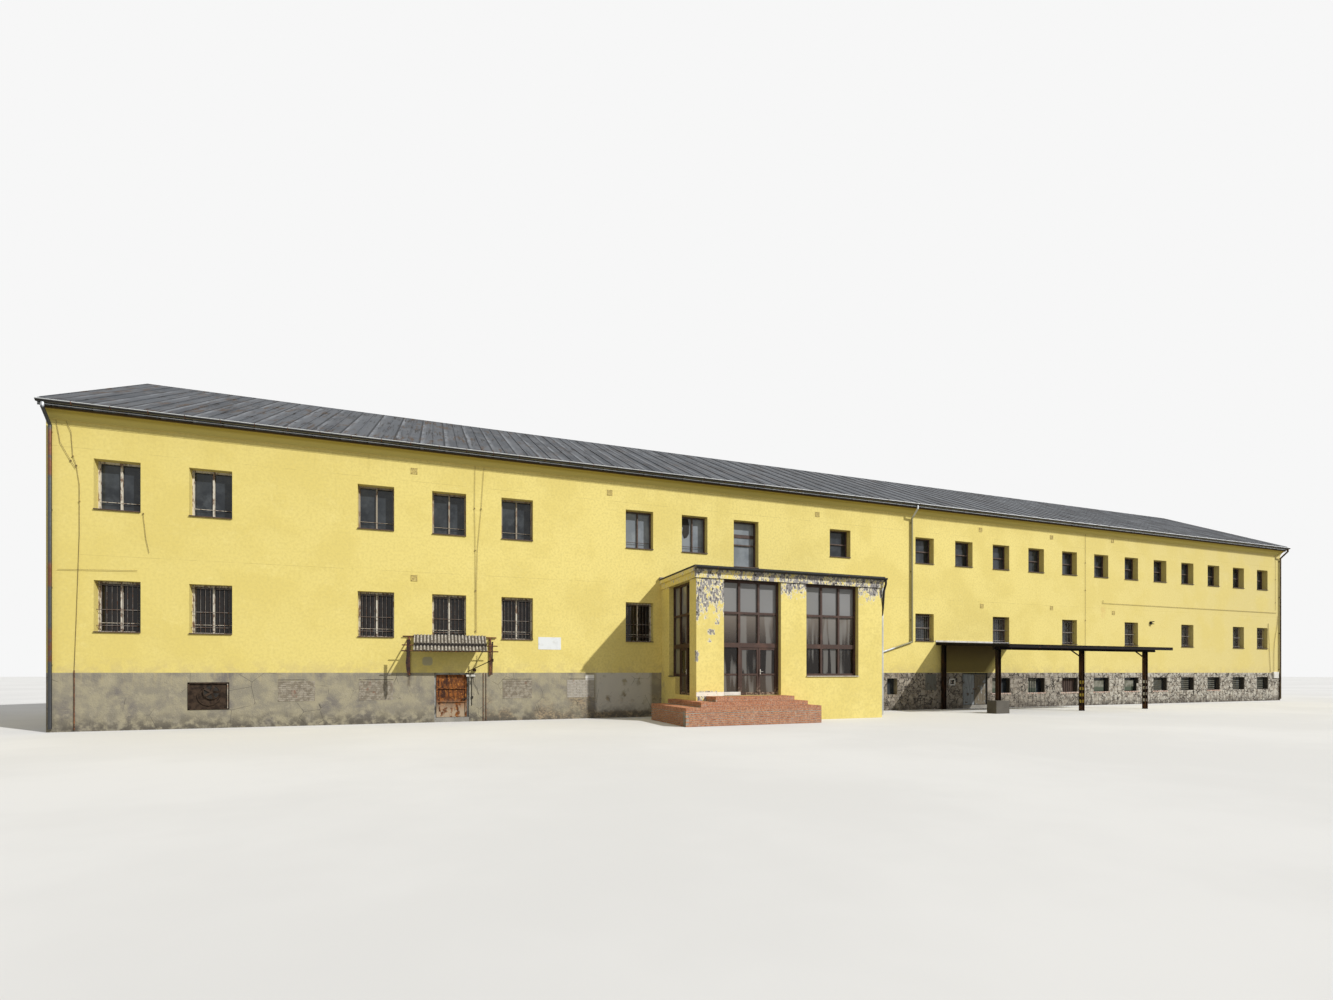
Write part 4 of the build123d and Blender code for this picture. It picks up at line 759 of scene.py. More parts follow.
def wire(points, radius, sides=6):
    """A round wire, rod or pipe: a line of extruded vertices that gets a round section."""
    start(bpy.ops.mesh.primitive_plane_add, (0, 0, 0), size=0.01)
    with editing():
        bpy.ops.mesh.select_mode(type="VERT")
        bpy.ops.mesh.merge(type="CENTER")
        bpy.ops.transform.translate(value=points[0])
        for a, b in zip(points, points[1:]):
            bpy.ops.mesh.extrude_region_move(TRANSFORM_OT_translate={"value": Vector(b) - Vector(a)})
    bpy.ops.object.convert(target="CURVE")
    made = bpy.context.object
    made.data.bevel_depth = radius
    made.data.bevel_resolution = (sides - 4) // 2
    made.data.use_fill_caps = True
    bpy.ops.object.convert(target="MESH")
    return bpy.context.object


def wall_wire(points, off, radius):
    """A wire along the front wall, given as X and height, at one distance from it."""
    return wire([(x, FRONT - off, z) for x, z in points], radius)


def copy_of(piece, matrix):
    """A copy with a mesh of its own, moved or turned by a matrix."""
    twin = bpy.data.objects.new(piece.name, piece.data.copy())
    twin.data.transform(matrix)
    bpy.context.scene.collection.objects.link(twin)
    return twin


def moved(piece, *places):
    """Copies of a piece at the given offsets; the model itself is used up."""
    twins = [copy_of(piece, Matrix.Translation(p)) for p in places]
    bpy.data.objects.remove(piece)
    return twins


def joined(parts):
    """Joins parts into the first one, which is then the active piece."""
    bpy.ops.object.select_all(action="DESELECT")
    for part in parts:
        part.select_set(True)
    bpy.context.view_layer.objects.active = parts[0]
    if len(parts) > 1:
        bpy.ops.object.join()
    return bpy.context.object


def dress(name, parts, material=None, body="building"):
    """Joins parts into one named piece that rides on a body and has a finish."""
    piece = joined(parts)
    piece.name = piece.data.name = name
    if material:
        piece.data.materials.append(material)
    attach(piece, body)
    print(name, "has", len(piece.data.polygons), "faces")
    return piece


print("hand tools are ready")

# %% [markdown]
# The porch steps are bricks on edge over a course of flat ones, a common way
# to make a step that does not wear. Two bricks are modelled, one on edge and
# one flat, and laid along every edge of the three steps. Between and behind
# them is the mortar bed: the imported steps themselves, taken in by the
# depth of a joint. Bricks are 290 by 140 by 65 mm, half of that here.

# %% Brick steps
BRICK_LONG, BRICK_WIDE, BRICK_THICK = 0.145, 0.070, 0.0325
JOINT = 0.005
ROW = BRICK_LONG + JOINT
RISER = 0.100
ON_EDGE_HIGH, FLAT_HIGH = 0.065, 0.0275
TREAD_GAP = 0.0015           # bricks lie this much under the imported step's top
laying = random.Random(7)


def brick_look(s):
    tone = s.spots(0.035, 0.42, 0.6, detail=1.0)
    s.colour = s.mix(tone, "#a86a48", "#c28a65")
    s.coat(s.spots(0.05, 0.56, 0.66, detail=2.0), "#8a5136")
    s.coat(s.spots(0.012, 0.55, 0.7), "#c99a7c")
    lime = s.spots(0.12, 0.58, 0.7) * s.spots(0.02, 0.4, 0.6)
    s.coat(lime, "#b9a592")
    s.grain(0.006, 3.0, 0.0015)


def model_brick(along, depth, height):
    """One brick with worn edges: its outer lower left corner at the origin, running along X."""
    made = bar((0, 0, 0), (along, depth, height))
    with editing():
        bpy.ops.transform.vertex_random(offset=0.0008, seed=3)
    return made


def lay(brick, length, start_at, end_at, z, inset=0.0015, stagger=0.0):
    """Lays bricks of a length from one corner to another, seen with the outside on the right."""
    start_at, end_at = Vector(start_at), Vector(end_at)
    way = (end_at - start_at).normalized()
    run = (end_at - start_at).length - stagger
    count = max(1, round(run / (length + JOINT)))
    turn = math.atan2(way.y, way.x)
    inward = Vector((-way.y, way.x)) * inset
    laid = []
    for i in range(count):
        at = start_at + way * (stagger + (i + 0.5) * run / count - length / 2) + inward
        wobble = laying.uniform(-0.02, 0.02)
        spot = Matrix.Translation((at.x, at.y, z + laying.uniform(0, 0.0015)))
        laid.append(copy_of(brick, spot @ Matrix.Rotation(turn + wobble * 0.5, 4, "Z")))
    return laid


def step_edges(low, high, rear):
    """Left side, front and right side of a step, each a pair of corners, outside on the right."""
    left = ((low.x, rear), (low.x, low.y + BRICK_LONG))
    right = ((high.x, low.y + BRICK_LONG), (high.x, PORCH_LOW.y))
    return left, ((low.x, low.y), (high.x, low.y)), right


steps = sorted(solids("brick_steps"), key=lambda b: -b[1].z)
on_edge = model_brick(BRICK_THICK, BRICK_LONG, ON_EDGE_HIGH)
flat = model_brick(BRICK_LONG, BRICK_WIDE, FLAT_HIGH)
course = []
for number, (low, high) in enumerate(steps):
    rear = PORCH_LOW.y if number == 0 else high.y
    left, front, right = step_edges(low, high, rear)
    top = high.z - ON_EDGE_HIGH - TREAD_GAP
    for a, b in (left, front, right):
        course += lay(on_edge, BRICK_THICK, a, b, top)
        course += lay(flat, BRICK_LONG, a, b, high.z - RISER + 0.001)
    if number == 0:
        for y in (low.y + ROW, low.y + 2 * ROW):
            course += lay(on_edge, BRICK_THICK, (low.x, y), (high.x, y), top)
    else:
        course += lay(on_edge, BRICK_THICK, (low.x + ROW, rear), (low.x + ROW, low.y + BRICK_LONG), top)
low, high = steps[-1]
left, front, right = step_edges(low, high, high.y)
base_rows = int((high.z - RISER) / (BRICK_THICK + JOINT))
for row in range(base_rows):
    for a, b in (left, front, right):
        course += lay(flat, BRICK_LONG, a, b, row * (BRICK_THICK + JOINT) + JOINT, stagger=0.07 * (row % 2))
for model in (on_edge, flat):
    bpy.data.objects.remove(model)

bed = copy_of(nodes["brick_steps"], Matrix.Identity(4))
joined([bed])
with editing():
    bpy.ops.mesh.remove_doubles(threshold=0.0002)
    bpy.ops.transform.shrink_fatten(value=-JOINT)
bed.data.materials.clear()
bed.data.materials.append(mortar)
brick = finish("fired_red_brick", brick_look, roughness=0.9)
for laid in course:
    laid.data.materials.append(brick)
brick_steps = dress("porch_steps_in_brick", [bed] + course)
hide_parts("brick_steps")
print("bricks laid:", len(course))

# %% [markdown]
# The right part of the plinth, its end and its back are rubble: stones of
# about 0.4 by 0.25 m with wide mortar joints. One sheet of cells is laid over
# the wall. Some cells are merged, all corners are pushed about, and the cells
# are cut at the openings. Then each cell is inset twice: once flat, which
# leaves the joint, and once outwards, which raises the stone.

# %% Rubble stones
STONE_WIDE, STONE_HIGH = 0.19, 0.118
SMALLEST_STONE = 0.0015      # square metres
MERGED_ALONG, MERGED_UP = 0.08, 0.22
CORNER_PUSH = 0.038
INSETS = ((0.006, 0.0), (0.004, 0.006), (0.014, 0.003))
BEDDING = 0.003              # thickness of the mortar sheet in front of the wall


def rubble_look(s):
    s.colour = s.mix(s.spots(0.14, 0.4, 0.6, detail=1.5), "#6a6154", "#80776a")
    s.coat(s.spots(0.1, 0.55, 0.64, detail=1.5), "#534a40")
    s.coat(s.spots(0.18, 0.58, 0.66, detail=1.5), "#86796a")
    s.coat(s.spots(0.05, 0.5, 0.7), "#948b7d")
    smear = s.spots(0.16, 0.44, 0.54, detail=6.0)
    s.coat(smear * 0.8, "#a39989")
    lime = s.x(4.0, 9.5) * s.spots(0.13, 0.4, 0.56, detail=6.0)
    s.coat(lime * 0.85, "#c3bdae")
    swirl = s.node("TexNoise", {"Vector": s.where, "Scale": 9.0, "Detail": 3.0}, output="Color")
    bent = s.node("Mix", {0: 0.12, 4: s.where, 5: swirl}, output=1, data_type="VECTOR")
    cells = s.node("TexVoronoi", {"Vector": bent, "Scale": 6.5}, feature="DISTANCE_TO_EDGE")
    crack = cells.map(0.07, 0.03)
    s.coat(crack * s.spots(0.3, 0.4, 0.5), "#2c261f")
    damp = s.z(0.25, 0.02) * s.spots(0.2, 0.35, 0.6)
    s.coat(damp, "#4d463c")
    s.grain(0.015, 4.0, 0.004)


def select_by(piece, kind, test):
    """Selects the faces, edges or vertices of a piece that pass a test, and opens edit mode."""
    bpy.ops.object.mode_set(mode="OBJECT")
    for part in (*piece.data.vertices, *piece.data.edges, *piece.data.polygons):
        part.select = False
    for part in getattr(piece.data, kind):
        part.select = test(part)
    mode = {"vertices": "VERT", "edges": "EDGE", "polygons": "FACE"}[kind]
    bpy.ops.object.mode_set(mode="EDIT")
    bpy.ops.mesh.select_mode(type=mode)


def rubble(length, height, holes, seed):
    """A closed sheet of stones in XZ that faces -Y, its lower left corner at the origin."""
    columns, rows = round(length / STONE_WIDE), round(height / STONE_HIGH)
    sheet = start(bpy.ops.mesh.primitive_grid_add, (length / 2, 0, height / 2), (length, height, 1),
                  x_subdivisions=columns, y_subdivisions=rows, size=1, rotation=FACING)
    chance = random.Random(seed)
    spots = sheet.data.vertices

    def inner(v):
        return 0.01 < v.co.x < length - 0.01 and 0.01 < v.co.z < height - 0.01

    def merge_here(edge):
        a, b = (spots[i] for i in edge.vertices)
        share = MERGED_UP if abs(a.co.x - b.co.x) < 0.01 else MERGED_ALONG
        return inner(a) and inner(b) and chance.random() < share

    select_by(sheet, "edges", merge_here)
    bpy.ops.mesh.dissolve_edges()
    spots = sheet.data.vertices
    select_by(sheet, "vertices", inner)
    bpy.ops.transform.vertex_random(offset=CORNER_PUSH, seed=seed)
    bpy.ops.transform.resize(value=(1, 0, 1), center_override=(0, 0, 0))
    for x0, x1, z0, z1 in holes:
        for axis, cut in (((1, 0, 0), x0), ((1, 0, 0), x1), ((0, 0, 1), z0), ((0, 0, 1), z1)):
            def near(face):
                return x0 - 0.3 < face.center.x < x1 + 0.3 and z0 - 0.2 < face.center.z < z1 + 0.2

            select_by(sheet, "polygons", near)
            bpy.ops.mesh.bisect(plane_co=[cut * a for a in axis], plane_no=axis)

    def gone(face):
        small = face.area < SMALLEST_STONE
        return small or any(x0 < face.center.x < x1 and z0 < face.center.z < z1 for x0, x1, z0, z1 in holes)

    select_by(sheet, "polygons", gone)
    bpy.ops.mesh.delete(type="FACE")
    bpy.ops.mesh.select_all(action="SELECT")
    bpy.ops.mesh.extrude_region_move(TRANSFORM_OT_translate={"value": (0, -BEDDING, 0)})
    for wide, out in INSETS:
        bpy.ops.mesh.inset(thickness=wide, depth=out, use_individual=True, use_even_offset=False)
    bpy.ops.transform.vertex_random(offset=0.0025, seed=seed + 1)
    bpy.ops.mesh.select_all(action="SELECT")
    bpy.ops.mesh.normals_make_consistent(inside=False)
    bpy.ops.object.mode_set(mode="OBJECT")
    for v in sheet.data.vertices:
        v.co.z = max(v.co.z, 0.0)
    sheet.data.materials.append(stone)
    sheet.data.materials.append(mortar)
    for face in sheet.data.polygons:
        highest = min(sheet.data.vertices[i].co.y for i in face.vertices)
        face.material_index = 1 if highest > -BEDDING - 0.001 else 0
    return sheet


stone = finish("rubble_field_stone", rubble_look, roughness=0.9)
cellar = [b for b in solids("cellar_windows") if b[0].z > 0.4]
front_lights = [(b[0].x, b[1].x) for b in cellar if b[0].y < 0]
back_lights = [(b[0].x, b[1].x) for b in cellar if b[0].y > 0]
SILL_Z, HEAD_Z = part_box("cellar_windows")[0].z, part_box("cellar_windows")[1].z
rubble_left = PORCH_HIGH.x + 0.01
doorway = (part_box("front_plinth_middle")[1].x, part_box("front_plinth_right")[0].x)
front_holes = [(a - rubble_left, b - rubble_left, SILL_Z, HEAD_Z) for a, b in front_lights]
front_holes.append((doorway[0] - rubble_left, doorway[1] - rubble_left, -0.1, PLINTH_TOP + 0.1))
back_holes = [(RIGHT - b, RIGHT - a, SILL_Z, HEAD_Z) for a, b in back_lights]
for name, length, holes, seed, corner, turn in (
        ("rubble_front", RIGHT - rubble_left, front_holes, 11, (rubble_left, FRONT, 0), 0),
        ("rubble_end", BACK - FRONT, [], 23, (RIGHT, FRONT, 0), 90),
        ("rubble_back", RIGHT - LEFT, back_holes, 37, (RIGHT, BACK, 0), 180)):
    stones = rubble(length, PLINTH_TOP, holes, seed)
    stones.data.transform(Matrix.Translation(corner) @ Matrix.Rotation(math.radians(turn), 4, "Z"))
    dress(name, [stones])

# %% [markdown]
# The lower windows are barred. A grille is eight upright round bars that
# pass through flat cross bars, set in the reveal in front of the
# frame. One grille is modelled for each wing and copied to its windows.
# The windows of the left wing also have a low, light rail across both
# casements.

# %% Window grilles and rails
GRILLE_BAR = 0.0035          # radius, a 14 mm bar at half size
GRILLE_DEPTH = 0.10          # behind the wall face
RAIL_FRONT, RAIL_BACK = 0.160, 0.172    # behind the wall face
RAIL_LEVEL = 0.19            # share of the window's height


def grille_skin(s):
    skin = s.mix(s.spots(0.12, 0.4, 0.6), "#7c7770", "#5d5148")
    skin = s.mix(s.x(-5.0, -4.9) * 0.7, skin, "#a8a49b")
    s.colour = s.mix(s.spots(0.05, 0.52, 0.6), skin, "#62432f")


def grille(width, height, levels):
    """Upright bars through flat cross bars, lower left corner at the origin."""
    upright = wire([(0, 0, 0), (0, 0, height)], GRILLE_BAR)
    gaps = 9
    parts = moved(upright, *[(i * width / gaps, 0, 0) for i in range(1, gaps)])
    for level in levels:
        parts.append(slab(0, 0, width, level * height - 0.006, level * height + 0.006, 0.006, 0.006))
    return parts


def placed(parts, spots):
    """Joins parts, copies them to each spot and returns the copies."""
    return moved(joined(parts), *spots)


PANE_LAP = 0.012
upper_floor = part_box("upper_floor")[1].z
left_low = [p for p in left_panes if p[1].z < upper_floor]
right_low = [p for p in right_panes if p[1].z < upper_floor]


def opening(pane):
    """Lower left corner and size of a window opening, at the wall face."""
    low, high = pane
    corner = Vector((low.x - PANE_LAP, FRONT, low.z - PANE_LAP))
    return corner, high.x - low.x + 2 * PANE_LAP, high.z - low.z + 2 * PANE_LAP


grilles = []
for group, levels in ((left_low, (0.14, 0.45, 0.93)), (right_low, (0.10, 0.5, 0.92))):
    corner, width, height = opening(group[0])
    spots = [opening(p)[0] + Vector((0, GRILLE_DEPTH, 0)) for p in group]
    grilles += placed(grille(width, height, levels), spots)
grille_steel = finish("weathered_grille_steel", grille_skin, roughness=0.8)
dress("window_grilles", grilles, grille_steel)

rails = []
for pane in left_panes:
    corner, width, height = opening(pane)
    z = corner.z + RAIL_LEVEL * height
    rails.append(slab(FRONT, corner.x + 0.03, corner.x + width - 0.03, z, z + 0.010, -RAIL_FRONT, RAIL_BACK))
dress("window_low_rails", rails, window_paint)

# %% [markdown]
# The half-round gutter hangs in iron straps. One strap is a ring of flat bar
# that is cut in half, and it is copied along the eave, one to each tray of
# the roof.

# %% Gutter straps
GUTTER_RADIUS = 0.045
STRAP_PITCH = 0.56
FIRST_STRAP = -16.607
porch_gutter = [b for b in solids("gutters") if b[0].y < FRONT - 1][0]
front_gutter = [b for b in solids("gutters") if b[1].y < 0 and b[1].z > 5][0]
back_gutter = [b for b in solids("gutters") if b[0].y > 0][0]


def strap(axis_y, axis_z):
    """Half a ring of flat bar round the gutter's axis, at x = 0."""
    made = start(bpy.ops.mesh.primitive_cylinder_add, (0, axis_y, axis_z), vertices=20,
                 radius=GUTTER_RADIUS + 0.004, depth=0.012, end_fill_type="NOTHING",
                 rotation=(0, math.radians(90), 0))
    with editing():
        bpy.ops.mesh.bisect(plane_co=(0, 0, axis_z + 0.004), plane_no=(0, 0, 1), clear_outer=True)
    thick = made.modifiers.new("thick", "SOLIDIFY")
    thick.thickness = 0.003
    thick.offset = -1
    bpy.ops.object.modifier_apply(modifier="thick")
    return made


straps = []
for low, high in (front_gutter, back_gutter, porch_gutter):
    front_side = high.y < 0
    axis_y = high.y - GUTTER_RADIUS if front_side else low.y + GUTTER_RADIUS
    axis_z = high.z - 0.025
    first = low.x + (FIRST_STRAP - front_gutter[0].x) % STRAP_PITCH
    places = [(first + i * STRAP_PITCH, 0, 0) for i in range(int((high.x - first) / STRAP_PITCH) + 1)]
    straps += moved(strap(axis_y, axis_z), *places)
dress("gutter_straps", straps, rust)

# %% [markdown]
# Small steel and wooden parts have finishes of their own. Weathered boards are
# grey with a trace of blue paint. White parts are painted sheet or plastic,
# and thin conductors are galvanised wire that has gone brown.

# %% Finishes of the small parts
def wood_grain(s, under, over):
    """Two colours in long, fine lines that stand out a little."""
    grain = s.spots(0.02, 0.4, 0.65, stretch=(1, 1, 0.06))
    s.colour = s.mix(grain, under, over)
    s.relief(grain, 0.002)


def grey_boards(s):
    wood_grain(s, "#7f8281", "#a3a7a8")
    s.coat(s.spots(0.1, 0.56, 0.64), "#5b5145")
    worn = s.x(3.12, 3.13) * s.spots(0.16, 0.36, 0.48)
    s.coat(worn, "#736957")
    shut = s.x(2.0, 1.9)
    s.coat(shut * 0.75, "#565142")
    slats = s.x(9.0, 9.1)
    s.coat(slats * 0.75, "#4a4b3f")


def brown_boards(s):
    wood_grain(s, "#2e2019", "#4d3a2d")


def green_panel(s):
    s.colour = s.mix(s.spots(0.12, 0.4, 0.62), "#636252", "#848274")
    s.coat(s.z(0.62, 0.58), "#47503f")


def lime_brick(s):
    s.colour = s.mix(s.spots(0.08, 0.42, 0.58), "#9f9686", "#827868")
    newer = s.x(-9.4, -9.3)
    s.coat(newer * 0.5, "#c0bab0")
    bare_brick = s.spots(0.2, 0.6, 0.68) * s.spots(0.04, 0.4, 0.5)
    s.coat(bare_brick * 0.7, "#8a6450")
    s.grain(0.01, 3.0, 0.002)


boards = finish("weathered_grey_boards", grey_boards, roughness=0.9)
dark_boards = finish("weathered_brown_boards", brown_boards, roughness=0.9)
panel = finish("pale_panel_with_algae", green_panel, roughness=0.8)
white = finish("old_white_paint", spotted((0.15, 0.4, 0.7), "#dedbd2", "#c4c0b4",
                                          ((0.04, 0.62, 0.7), "#8b8477")), roughness=0.6)
conductor = finish("browned_galvanised_wire", spotted((0.1, 0.4, 0.6), "#8b7640", "#6d5a34"), roughness=0.7)
plate_rust = finish("dark_rusted_plate", spotted((0.08, 0.45, 0.65), "#24140d", "#4d2b1a"))
# Black sheet for dark parts, also used as painted shade in the dark openings of the fan, the vent and the
# broken pane.
black = finish("blackened_sheet_and_painted_shade", spotted((0.05, 0.4, 0.6), "#17140f", "#262119"), roughness=0.8)
vent = finish("painted_vent_plate", spotted((0.05, 0.4, 0.6), "#d8c47a", "#c3ae66",
                                            ((0.02, 0.5, 0.6), "#a08c55")), roughness=0.9)
limed = finish("limewashed_brick", lime_brick, roughness=0.95)
pink = finish("spalled_sill_brick", spotted((0.05, 0.42, 0.58), "#a5806c", "#c4aa98",
                                            ((0.03, 0.5, 0.62), "#d8d0c4")), roughness=0.95)

# %% [markdown]
# The wall has vents in its upper and lower zone: a square cast plate with
# four slots. One plate is made from a frame and three bars, and copied.

# %% Vent plates
VENT = 0.13
VENT_PLACES = ((-12.63, 5.40), (-12.63, 3.105), (-8.30, 5.375), (-2.48, 5.375), (3.35, 5.425), (3.40, 3.11),
               (6.35, 5.425), (6.35, 3.157), (9.20, 5.525), (9.25, 3.095))

half = VENT / 2
vent_parts = [slab(0, -half, half, -half, half, 0.004)]
vent_parts += rim(0, -half, half, -half, half, 0.012, 0.010, -0.003)
vent_parts += [slab(0, -half, half, z - 0.005, z + 0.005, 0.008, -0.003) for z in (-0.03, 0, 0.03)]
dress("vent_plates", placed(vent_parts, [(x, FRONT, z) for x, z in VENT_PLACES]), vent)

# %% [markdown]
# Four cellar windows of the left wing were bricked up. Bricks are laid in
# rows, every second row moved by half a brick, and limewashed. The last brick
# of a row is cut where the opening ends.

# %% Bricked-up cellar windows
INFILL_WIDE, INFILL_LOW, INFILL_HIGH = 0.65, 0.50, 0.92

infill = []
for middle in INFILL_MIDDLES:
    left, z = middle - INFILL_WIDE / 2, INFILL_LOW
    row = 0
    while z + BRICK_THICK < INFILL_HIGH:
        x = left - (BRICK_LONG / 2 if row % 2 else 0)
        while x < left + INFILL_WIDE - 0.01:
            a, b = max(x, left), min(x + BRICK_LONG, left + INFILL_WIDE)
            proud = laying.uniform(0.003, 0.007)
            infill.append(slab(FRONT, a, b, z, z + BRICK_THICK, proud, 0.01))
            x += BRICK_LONG + JOINT
        z += BRICK_THICK + JOINT
        row += 1
dress("bricked_up_windows", infill, limed)

# %% [markdown]
# The cellar windows of the right wing are all different. From left to right:
# a narrow pale panel, pale bars, brown boards, two wide pale panels, and grey
# slats in the rest. Under some of them the sill has worn to bricks.

# %% Cellar window fillings
LIGHT_FRONT = min(b[0].y for b in cellar)
front_cellar = [b for b in cellar if b[0].y < 0 and b[0].x > 1]


def in_light(low, high, x0, x1, z0, z1, depth=0.012):
    """A flat bar in front of a pane; places are shares of the opening's width and height."""
    width, height = high.x - low.x, high.z - low.z
    return slab(LIGHT_FRONT, low.x + x0 * width, low.x + x1 * width, low.z + z0 * height,
                low.z + z1 * height, 0.012 + depth, -0.010)


half_panel, whole_panel = [(0.02, 0.42, 0.02, 0.98)], [(0.03, 0.86, 0.03, 0.82)]
pale_bars = [(0.06 + i * 0.13, 0.13 + i * 0.13, 0.02, 0.98) for i in range(5)]
pale_bars.append((0.02, 0.66, 0.86, 0.94, 0.020))
planks = [(0.03 + i * 0.137, 0.145 + i * 0.137, 0.01, 0.96) for i in range(7)]
slats = [(0.04, 0.84, 0.06 + i * 0.155, 0.15 + i * 0.155) for i in range(6)]
for name, filling, bays in (
        ("panel_fillings", panel, {0: half_panel, 3: whole_panel, 4: whole_panel}),
        ("pale_fillings", panel, {1: pale_bars}),
        ("brown_fillings", dark_boards, {2: planks}),
        ("slat_fillings", boards, {bay: slats for bay in range(5, len(front_cellar))})):
    parts = [in_light(*front_cellar[bay], *place) for bay, places in bays.items() for place in places]
    dress(name, parts, filling)

sill_bricks = []
for bay in (0, 1, 2, 3, 4, 5, 7):
    low, high = front_cellar[bay]
    for i in range(9):
        x = low.x - 0.04 + i * 0.09
        drop = laying.uniform(0.0, 0.02)
        sill_bricks.append(bar((x, FRONT - 0.014 - drop * 0.5, low.z - 0.055 + drop),
                               (x + 0.082, LIGHT_FRONT - 0.01, low.z - 0.002), edge=0.006))
dress("worn_sill_bricks", sill_bricks, pink)

# %% [markdown]
# Boards and rails on the cellar doors. Each leaf of the twin door has four
# upright boards, three rails and a ring handle. The single iron door has two
# rails, two hinge straps and a bolt. All of them ride on their own leaf.

# %% Cellar door boards, rails and handles
def leaf_boards(node, count, left, right):
    """Boards and rails on a leaf's outer face, kept off its edges by the two margins."""
    low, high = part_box(node)
    start_x, end_x = low.x + left, high.x - right
    pitch = (end_x - start_x) / count
    parts = [slab(low.y, start_x + i * pitch, start_x + (i + 1) * pitch - 0.004, low.z + 0.004,
                  high.z - 0.004, 0.008) for i in range(count)]
    for z in (low.z + 0.02, 0.545, high.z - 0.07):
        parts.append(slab(low.y, start_x + 0.002, end_x - 0.006, z, z + 0.05, 0.014, -0.007))
    return parts


def ring_handle(x, y, z):
    """A ring on a small plate."""
    plate = slab(y, x - 0.014, x + 0.014, z + 0.006, z + 0.034, 0.004, 0.001)
    return [ring(x, y - 0.006, z, 0.018, 0.003, 16, 6), plate]


HINGE_MARGIN = 0.024         # an open leaf's boards have to pass the jamb
HANDLE_Z, BOLT_Z = 0.57, 0.50
twin_low, twin_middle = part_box("twin_left_door")
twin_gap, twin_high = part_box("twin_right_door")
dress("twin_left_boards", leaf_boards("twin_left_door", 4, HINGE_MARGIN, 0.002), boards,
      body="twin_left_leaf")
dress("twin_right_boards", leaf_boards("twin_right_door", 4, 0.002, HINGE_MARGIN), boards,
      body="twin_right_leaf")
head = twin_middle.z + 0.012
jambs = [slab(twin_low.y, x, x + 0.026, twin_low.z, head + 0.018, 0.005)
         for x in (twin_low.x - 0.036, twin_high.x + 0.010)]
jambs.append(slab(twin_low.y, twin_low.x - 0.036, twin_high.x + 0.036, head, head + 0.026, 0.005))
dress("twin_door_jambs", jambs, black)
for name, x, leaf in (("twin_left_handle", twin_middle.x - 0.04, "twin_left_leaf"),
                      ("twin_right_handle", twin_gap.x + 0.04, "twin_right_leaf")):
    dress(name, ring_handle(x, twin_low.y - 0.016, HANDLE_Z), rust, body=leaf)

iron_low, iron_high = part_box("iron_door")
iron_rails = [slab(iron_low.y, iron_low.x + 0.01, iron_high.x - 0.01, z, z + 0.022, 0.010)
              for z in (0.43, 0.72)]
iron_rails += [slab(iron_low.y, x, x + 0.024, iron_low.z + 0.004, iron_high.z - 0.004, 0.008)
               for x in (iron_low.x + 0.004, iron_high.x - 0.028)]
dress("iron_door_rails", iron_rails, rust_sheet, body="iron_leaf")
bolt = [wire([(iron_high.x - x, iron_low.y - 0.018, BOLT_Z) for x in (0.10, 0.008)], 0.006)]
bolt += [slab(iron_low.y, x, x + 0.020, BOLT_Z - 0.02, BOLT_Z + 0.02, 0.026, -0.002)
         for x in (iron_high.x - 0.085, iron_high.x - 0.035)]
dress("iron_door_bolt", bolt, black, body="iron_leaf")

# %% [markdown]
# The hatch in the left plinth holds an old fan: a ring, a dark throat, five
# blades and a hub, with a pale strip along the hatch's right side.

# %% Fan
FAN_X, FAN_Z, FAN_RADIUS = -16.271, 0.700, 0.135
hatch_low, hatch_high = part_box("fan_hatch")
face = hatch_low.y
# The throat is a black disc for the dark hole behind the blades: painted shade.
dress("fan_throat", [disc(FAN_X, face - 0.002, FAN_Z, FAN_RADIUS, 0.006, 32)], black)
shroud = ring(FAN_X, face - 0.008, FAN_Z, FAN_RADIUS, 0.007, 36, 8)
hub = disc(FAN_X, face - 0.010, FAN_Z, 0.03, 0.014, 16)
blade = bar((0.02, -0.003, -0.028), (FAN_RADIUS - 0.012, 0.003, 0.028))
blade.data.transform(Matrix.Rotation(math.radians(25), 4, "X"))
centre = Matrix.Translation((FAN_X, face - 0.012, FAN_Z))
blades = [copy_of(blade, centre @ Matrix.Rotation(math.tau * i / 5, 4, "Y")) for i in range(5)]
bpy.data.objects.remove(blade)
dress("fan_blades", [shroud, hub] + blades, dark_rust)
frame_bars = [slab(face, x0, x1, z0, z1, 0.012) for x0, x1, z0, z1 in (
    (hatch_low.x, hatch_high.x, hatch_high.z - 0.03, hatch_high.z),
    (hatch_low.x, hatch_low.x + 0.03, hatch_low.z, hatch_high.z),
    (hatch_low.x, hatch_high.x, hatch_low.z, hatch_low.z + 0.02))]
dress("fan_hatch_rim", frame_bars, dark_rust)
strip = slab(face, hatch_high.x - 0.035, hatch_high.x - 0.018, hatch_low.z + 0.02, hatch_high.z, 0.010)
dress("fan_hatch_strip", [strip], limed)

# %% [markdown]
# Lightning conductors run down the wall from the eave, on small holders that
# keep them off the render. Each is a line of points along the wall, as X and
# height. Further thin lines are a brown pipe along the right wing and two
# conduits at the right corner.

